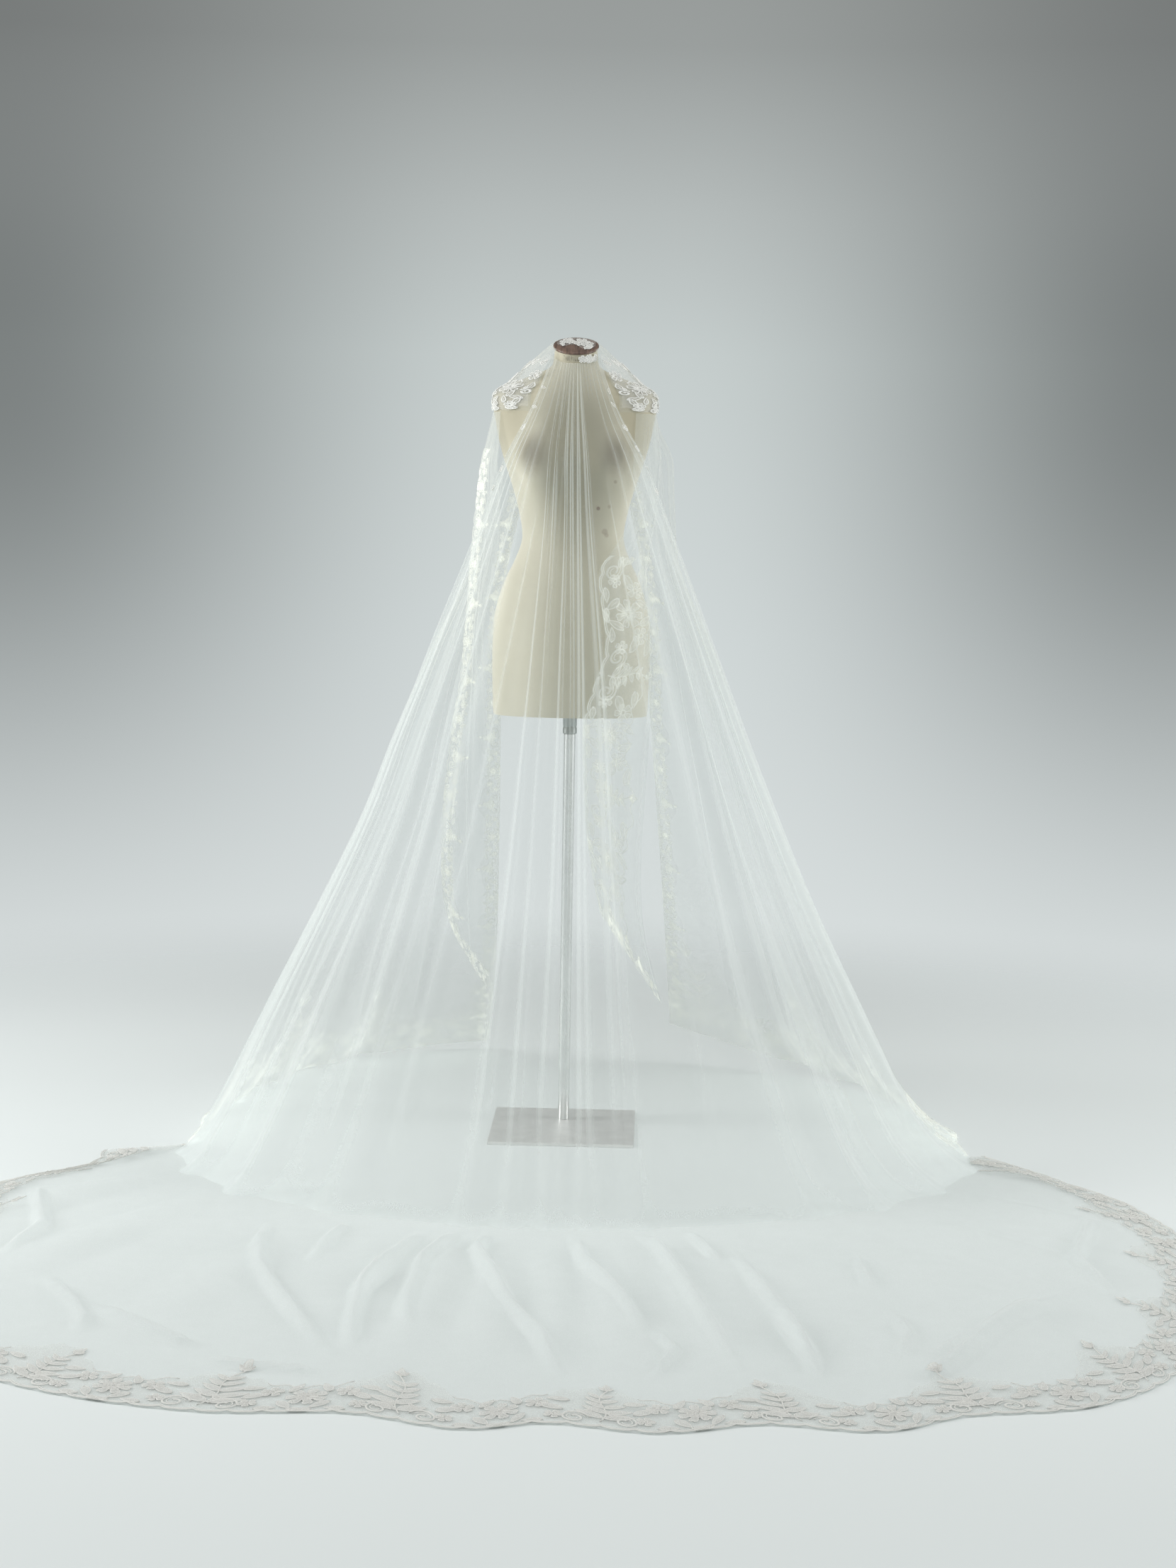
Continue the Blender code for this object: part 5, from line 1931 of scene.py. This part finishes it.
# Flowers as (radius, petals, place along, place up, turn) and leaves as (along, up, turn, length)
SHOULDER_FLOWERS = (
    (0.024, 7, 0.34, 0.46, 0.2), (0.016, 5, 0.7, 0.58, 0.6), (0.012, 5, 0.12, 0.66, 0.1),
    (0.012, 5, 0.88, 0.3, 0.9), (0.011, 5, 0.24, 0.1, 0.3), (0.01, 5, 0.56, 0.09, 0.8),
    (0.009, 5, 0.86, 0.12, 0.5),
)
SHOULDER_LEAVES = (
    (0.08, 0.2, -0.9, 0.026), (0.2, 0.12, 0.7, 0.024), (0.46, 0.1, -0.5, 0.026),
    (0.52, 0.32, -1.2, 0.028), (0.58, 0.16, 0.9, 0.024), (0.66, 0.26, -0.2, 0.024),
    (0.8, 0.12, 0.4, 0.022), (0.93, 0.55, -0.2, 0.024),
    (0.84, 0.7, 0.8, 0.022), (0.52, 0.72, 0.4, 0.024), (0.44, 0.8, 1.2, 0.022), (0.2, 0.82, 1.3, 0.022),
    (0.06, 0.42, 0.2, 0.024), (0.34, 0.14, 0.2, 0.022), (0.14, 0.05, -1.4, 0.02), (0.74, 0.05, 1.5, 0.022),
    (0.42, 0.05, -1.5, 0.02), (0.96, 0.2, 0.3, 0.02), (0.3, 0.26, 0.8, 0.022), (0.74, 0.4, -0.9, 0.022),
)
# Shares of the mantle's length under each shoulder's spray and under the lace round the back
FIRST_SPAN = (0.0, 8 / 30)
LAST_SPAN = (22 / 30, 1.0)
BACK_SPAN = (9.2 / 30, 20.8 / 30)
CAP_FLOWERS = (
    (0.015, 6, 0.022, 0.02, 0.2), (0.015, 6, 0.058, 0.02, 0.7),
    (0.01, 5, 0.041, 0.034, 0.4), (0.008, 5, 0.07, 0.038, 0.1),
)
CAP_LEAVES = (
    (0.008, 0.03, -0.5, 0.016), (0.03, 0.006, 0.9, 0.016), (0.044, 0.01, -0.4, 0.018),
    (0.07, 0.036, -0.3, 0.011), (0.046, 0.038, 0.2, 0.009), (0.014, 0.038, 0.2, 0.009),
    (0.076, 0.016, 0.2, 0.015), (0.032, 0.03, 0.5, 0.014), (0.062, 0.036, 0.3, 0.011),
)
NECK_FLOWERS = ((0.0078, 5, 0.2, 0.5, 0.3), (0.009, 6, 0.46, 0.5, 0.9), (0.007, 5, 0.78, 0.5, 0.1))
# The front edge of the cap's lace: place across as a share of the cap, and towards the back in metres
CAP_EDGE = np.array((
    (-0.92, 0.0), (-0.6, -0.014), (-0.3, -0.004), (0.0, -0.004),
    (0.25, -0.024), (0.5, -0.033), (0.75, -0.024), (0.92, -0.008),
))


def posy(flowers: Sequence[tuple], leaves: Sequence[tuple], wide: float, deep: float, cord: float) -> Draft:
    """Draw flowers and leaves from their tables.

    Args:
        flowers: The flowers.
        leaves: The leaves.
        wide: What a place along is a share of.
        deep: What a place up is a share of.
        cord: The width of the leaves' cords.

    Returns:
        The design.
    """
    draft = Draft()
    for radius, petals, along, up, turn in flowers:
        draft.stamp(flower(radius, petals), (wide * along, deep * up), turn)
    for along, up, turn, long in leaves:
        draft.stamp(leaf(long, long * 0.42, cord=cord), (wide * along, deep * up), turn)
    return draft


@dataclass
class Veil:
    """The whole veil: its net and its lace."""

    net: Net
    wardrobe: Wardrobe
    pieces: list[Piece] = field(default_factory=list)

    def _shell(self, node: str, cloth: Cloth, finish: Material | None = None) -> Piece:
        """Make a shell of net.

        Args:
            node: The node that it stands for, without its first word.
            cloth: The cloth.
            finish: Its finish, if it isn't the usual net.

        Returns:
            The piece, with each point's place on the laid-out cloth.
        """
        points, materials = cloth.points, [finish or self.wardrobe.net]
        flat = np.stack((travelled(points, 1), travelled(points, 0)), axis=-1).reshape(-1, 2)
        faces = grid_faces(*points.shape[:2])
        made = mesh_object(f"net_{node}", points.reshape(-1, 3), faces, materials, flat=flat)
        stand_for(f"veil_{node}")
        self.pieces.append(made)
        return made

    def _lace(self, sewer: LaceSewer, node: str, finish: list[Material]) -> Piece:
        """Make a lace piece.

        Args:
            sewer: The sewer that holds its work.
            node: The node that it stands for.
            finish: The finishes of its layers.

        Returns:
            The piece, which casts no shadow where it hangs.
        """
        made = sewer.sew(finish)
        made.visible_shadow = finish is not self.wardrobe.hanging_lace
        stand_for(node)
        self.pieces.append(made)
        return made

    def build(self) -> None:
        mantle = self.net.mantle()
        fall = self.net.fall()
        self.front(fall)
        for stretch in (LEFT_SIDE, RIGHT_SIDE, LEFT_DRAPE, RIGHT_DRAPE):
            self.hanging(stretch, mantle)
        self.shoulders(mantle, fall)
        gathers = self.net.gathers()
        shell = self._shell("gather", gathers, self.wardrobe.gathers)

    def front(self, fall: Cloth) -> None:
        """Make the front fall, the train and its hem's lace.

        Args:
            fall: The cloth of the fall.
        """
        train = self.net.train()
        fall_piece = self._shell("front_fall", fall)
        train_piece = self._shell("train", train, self.wardrobe.train_net)
        sewer = LaceSewer("lace_hem_of_train")
        sewer.border(Chart.border(train, Edge.BOTTOM, 0.215), BorderStyle(), 11)
        hem = self._lace(sewer, "lace_train_hem", self.wardrobe.lying_lace)

    def hanging(self, stretch: SideStretch | Drape, mantle: Cloth) -> None:
        """Make a stretch that hangs from the mantle, and its lace.

        Args:
            stretch: The stretch.
            mantle: The mantle.
        """
        cloth = stretch.cloth(self.net, mantle)
        shell = self._shell(stretch.name, cloth)
        first_is_low = bool(cloth.points[-1, 0, 0] < cloth.points[-1, -1, 0])
        edge = Edge.FIRST if first_is_low == stretch.low_edge else Edge.LAST
        sewer = LaceSewer(f"lace_border_{stretch.name}", stretch.cord_size)
        for side, trim in ((edge, stretch.edge_trim), (Edge.BOTTOM, stretch.foot_trim)):
            sewer.border(Chart.border(cloth, side, trim.depth, trim.start), trim.style, trim.seed)
        lace = self._lace(sewer, stretch.lace_node, self.wardrobe.hanging_lace)

    def shoulders(self, mantle: Cloth, fall: Cloth) -> None:
        """Make the mantle, the sprays on both shoulders, the lace round the back and over the cap.

        Args:
            mantle: The mantle.
            fall: The fall, whose upper edges carry small flowers.
        """
        shell = self._shell("mantle", mantle, self.wardrobe.mantle_net)
        on_right = bool(mantle.points[-1, 0, 0] > 0)
        fall_on_right = bool(fall.points[-1, 0, 0] > 0)
        for side, seed in (("right", 71), ("left", 73)):
            right = side == "right"
            first = right == on_right
            chart = Chart.patch(mantle, (0.05, 1.0), FIRST_SPAN if first else LAST_SPAN)
            sewer = LaceSewer(f"lace_spray_{side}_shoulder", 1.12)
            self._shoulder_spray(sewer, chart.turned(along=not first))
            edge = Chart.border(fall, Edge.FIRST if fall_on_right == right else Edge.LAST, 0.03, 0.03, 0.21)
            sewer.embroider(edge, self._edge_flowers(edge, seed))
            self._lace(sewer, f"lace_{side}_shoulder", self.wardrobe.shoulder_lace)
        sewer = LaceSewer("lace_round_back")
        sewer.border(Chart.patch(mantle, (0.6, 1.0), BACK_SPAN).turned(), COLLAR, 61)
        self._lace(sewer, "lace_back_collar", self.wardrobe.shoulder_lace)
        self.cap_lace()

    @staticmethod
    def _edge_flowers(edge: Chart, seed: int) -> Draft:
        """Scatter small flowers and leaves along an edge.

        Args:
            edge: The chart of the edge.
            seed: The seed of the draws.

        Returns:
            The design.
        """
        draws = random.Random(seed)
        draft = Draft()
        for along in np.arange(0.02, edge.length - 0.02, 0.048):
            deep = edge.depth * draws.uniform(0.35, 0.6)
            if draws.random() < 0.45:
                draft.stamp(flower(0.0075, 5, 0.0012), (along, deep), draws.uniform(0.0, 1.2))
            else:
                draft.stamp(leaf(0.016, 0.006, cord=0.0012), (along, deep * 0.5), draws.uniform(-1.2, 1.2))
        return draft.clip(0.002, edge.length - 0.002)

    @staticmethod
    def _shoulder_spray(sewer: LaceSewer, chart: Chart) -> None:
        """Lay a spray of flowers on a shoulder.

        Args:
            sewer: The sewer of its piece.
            chart: The shoulder's chart, from its lower edge up.
        """
        wide, deep = chart.length, chart.depth

        def lower(along: Array) -> Array:
            """Return the spray's uneven lower edge."""
            return 0.006 + 0.004 * np.sin(along * 150.0) + 0.004 * np.sin(along * 67.0 + 1.0)

        def upper(along: Array) -> Array:
            """Return the spray's uneven upper edge."""
            return deep * (0.88 + 0.06 * np.sin(along * 110.0) + 0.05 * np.sin(along * 47.0))

        sewer.ground(chart, lower, upper, 0.003)
        draft = posy(SHOULDER_FLOWERS, SHOULDER_LEAVES, wide, deep, 0.0022)
        draft.stamp(flower(0.013, 7, 0.0018), (wide * 0.34, deep * 0.46), 0.5)
        draft.stamp(scroll(0.011), (wide * 0.6, deep * 0.4), -0.4)
        draft.stamp(scroll(0.01), (wide * 0.18, deep * 0.34), 0.6, mirror=True)
        sewer.embroider(chart, draft)

    def cap_lace(self) -> None:
        """Make the lace over the neck cap, and the flowers on the neck in front of it."""
        form = self.net.form
        radius = form.cap_radius - form.cap_bevel - 0.001
        across = np.linspace(CAP_EDGE[0, 0], CAP_EDGE[-1, 0], 61)
        front = smooth_value(CAP_EDGE, across)
        back = radius * np.sqrt(1.0 - across ** 2)
        y = back + (front - back) * np.linspace(0.0, 1.0, 30)[:, None]
        level = form.seam_gap + form.cap_thickness + 0.0003
        cloth = Cloth(vectors(across * radius, y, form.cap_level(y) + level), UPWARD)
        chart = Chart(cloth.points.transpose(1, 0, 2), cloth.normals.transpose(1, 0, 2), 0.084, 0.048)
        sewer = LaceSewer("lace_over_cap", 1.3)
        sewer.ground(chart, lambda s: np.full_like(s, 0.001), lambda s: np.full_like(s, 0.047), 0.001)
        sewer.embroider(chart, posy(CAP_FLOWERS, CAP_LEAVES, 1.0, 1.0, 0.0016))
        self._neck_flowers(sewer)
        self._lace(sewer, "lace_cap", self.wardrobe.lying_lace)

    def _neck_flowers(self, sewer: LaceSewer) -> None:
        """Lay small flowers and leaves over the right front of the neck.

        Args:
            sewer: The sewer of the cap's lace.
        """
        angles = np.radians(np.linspace(2.0, 66.0, 33))
        neck = self.net.neck_cloth(angles, np.linspace(19.55, 20.95, 15), 0.004)
        chart = Chart.patch(neck, (0.0, 1.0), (0.0, 1.0))
        turned = neck.points[0, 0, 0] > neck.points[0, -1, 0]
        draft = Draft()
        for radius, petals, along, up, turn in NECK_FLOWERS:
            place = (1 - along if turned else along) * chart.length
            draft.stamp(flower(radius, petals, 0.0016), (place, chart.depth * up), turn)
            draft.stamp(leaf(0.013, 0.006, cord=0.0014), (place + 0.006, chart.depth * 0.2), -0.9)
        sewer.embroider(chart, draft.clip(0.0, chart.length))


# Camera, light and floor


@dataclass
class Softbox:
    """A soft rectangular light that points at a place."""

    name: str
    place: Triple
    target: Triple
    size: Pair
    power: float

    def hang(self) -> None:
        """Add the light to the scene."""
        data = bpy.data.lights.new(self.name, "AREA")
        data.shape = "RECTANGLE"
        data.size, data.size_y = self.size
        data.energy = self.power
        lamp = bpy.data.objects.new(self.name, data)
        lamp.location = self.place
        lamp.rotation_euler = (Vector(self.target) - Vector(self.place)).to_track_quat("-Z", "Y").to_euler()
        bpy.context.scene.collection.objects.link(lamp)


@dataclass
class Studio:
    """The photographer's corner: camera, soft lights, a pale floor and a graded backdrop."""

    camera_place: Triple = (0.04, -5.07, 1.266)
    pitch: float = math.radians(6.12)
    roll: float = math.radians(1.0)
    focal_pixels: float = 3432.0
    image_height: float = 2212.0
    sensor: float = 36.0
    floor_radius: float = 9.0
    floor_level: float = -0.0004
    floor_segments: int = 96
    floor_colour: Triple = (0.8, 0.845, 0.84)
    lights: tuple[Softbox, ...] = (
        Softbox("left_softbox", (-3.3, -0.5, 2.0), (0.0, -0.1, 1.1), (1.4, 2.4), 92.0),
        Softbox("right_softbox", (3.3, -0.5, 2.0), (0.0, -0.1, 1.1), (1.4, 2.4), 62.0),
        Softbox("front_fill", (-0.6, -6.0, 3.6), (0.0, -0.6, 0.4), (3.2, 2.0), 65.0),
        Softbox("top_softbox", (0.0, -1.2, 4.6), (0.0, -1.0, 0.0), (3.6, 3.6), 50.0),
    )

    def build(self) -> None:
        """Make the camera, the lights, the floor and the world."""
        self._camera()
        for light in self.lights:
            light.hang()
        self._floor()
        self._world()
        view = bpy.context.scene.view_settings
        view.view_transform = "Standard"
        view.look = "None"
        bpy.context.scene.cycles.transparent_max_bounces = 32

    def _camera(self) -> None:
        """Place the camera where the photograph was taken."""
        data = bpy.data.cameras.new("photo_camera")
        data.sensor_width = self.sensor
        data.lens = self.focal_pixels / self.image_height * self.sensor
        data.clip_end = 60.0
        camera = bpy.data.objects.new("photo_camera", data)
        turn = Matrix.Rotation(math.pi / 2 - self.pitch, 4, "X") @ Matrix.Rotation(self.roll, 4, "Z")
        camera.matrix_world = Matrix.Translation(self.camera_place) @ turn
        bpy.context.scene.collection.objects.link(camera)
        bpy.context.scene.camera = camera

    def _floor(self) -> None:
        """Lay a round pale floor that fades into the backdrop."""
        angles = np.linspace(0.0, 2 * math.pi, self.floor_segments, endpoint=False)
        radii = np.array((0.02, 1.5, 3.0, 5.0, self.floor_radius))
        level = self.floor_level
        rings = [vectors(radius * np.cos(angles), radius * np.sin(angles), level) for radius in radii]
        material, bench = start_material("pale_floor")
        place = bench.place()
        drift = bench.noise(place, 1.3, 3.0)
        darker = tuple(part * 0.985 for part in self.floor_colour)
        paper = bench.shader("BsdfPrincipled", {
            "Base Color": bench.blend(drift, self.floor_colour, darker), "Roughness": 0.75,
            "Normal": bench.bump(bench.noise(place, 240.0), 0.0002, 0.2),
        })
        far = bench.distance(place, (0.0, -0.6, 0.0)).step(1.4, 3.5)
        clear = bench.shader("BsdfTransparent", {})
        bench.finish(bench.mix_shaders(far, paper, clear))
        faces = [face[::-1] for face in grid_faces(len(radii), self.floor_segments, closed=True).tolist()]
        faces.append(list(range(self.floor_segments)))
        floor = mesh_object("studio_floor", np.array(rings).reshape(-1, 3), faces, [material])

    def _world(self) -> None:
        """Grade the backdrop: bright and low in front and behind, darker above and aside."""
        world = bpy.data.worlds.new("graded_backdrop")
        world.use_nodes = True
        bpy.context.scene.world = world
        bench = Bench(world.node_tree)
        x, y, z = bench.split(bench.result("TexCoord", "Generated"))
        sky = bench.result("ValToRGB", 0, {"Fac": z * 1.4 + 0.5}, {"stops": (
            (0.0, (0.74, 0.79, 0.79)), (0.174, (0.75, 0.8, 0.8)), (0.272, (0.69, 0.735, 0.735)),
            (0.434, (0.635, 0.685, 0.685)), (0.595, (0.56, 0.61, 0.605)), (0.674, (0.465, 0.5, 0.495)),
            (0.762, (0.325, 0.345, 0.34)), (0.98, (0.25, 0.26, 0.25)),
        )})
        aside = (x * y).sized().step(0.03, 0.235)
        dim = 1 - 0.64 * aside * z.step(-0.22, 0.05) * (1 - 0.35 * z.step(0.07, 0.2))
        glow = bench.shader("Background", {"Color": bench.blend(dim, (0.0, 0.0, 0.0), sky)})
        bench.node("OutputWorld", None, {"Surface": glow})


def dress_stand_plate(wardrobe: Wardrobe, nodes: dict) -> None:
    """Give the plate its satin steel.

    Args:
        wardrobe: The finishes.
        nodes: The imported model's nodes, by name.
    """
    plate = nodes["stand_base"]
    plate.data.materials.clear()
    plate.data.materials.append(wardrobe.steel)


def main() -> None:
    """Build the whole scene in order."""
    logging.basicConfig(level=logging.INFO, format="%(name)s: %(message)s")
    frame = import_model()
    studio = Studio()
    studio.build()
    wardrobe = Wardrobe()
    form = DressForm()
    pieces = form.build(wardrobe)
    dress_stand_plate(wardrobe, frame["nodes"])
    veil = Veil(Net(form), wardrobe)
    veil.build()
    for piece in pieces + veil.pieces:
        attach(piece, "root")
    LOG.info("%d pieces", len(pieces) + len(veil.pieces))


if __name__ == "__main__":
    main()
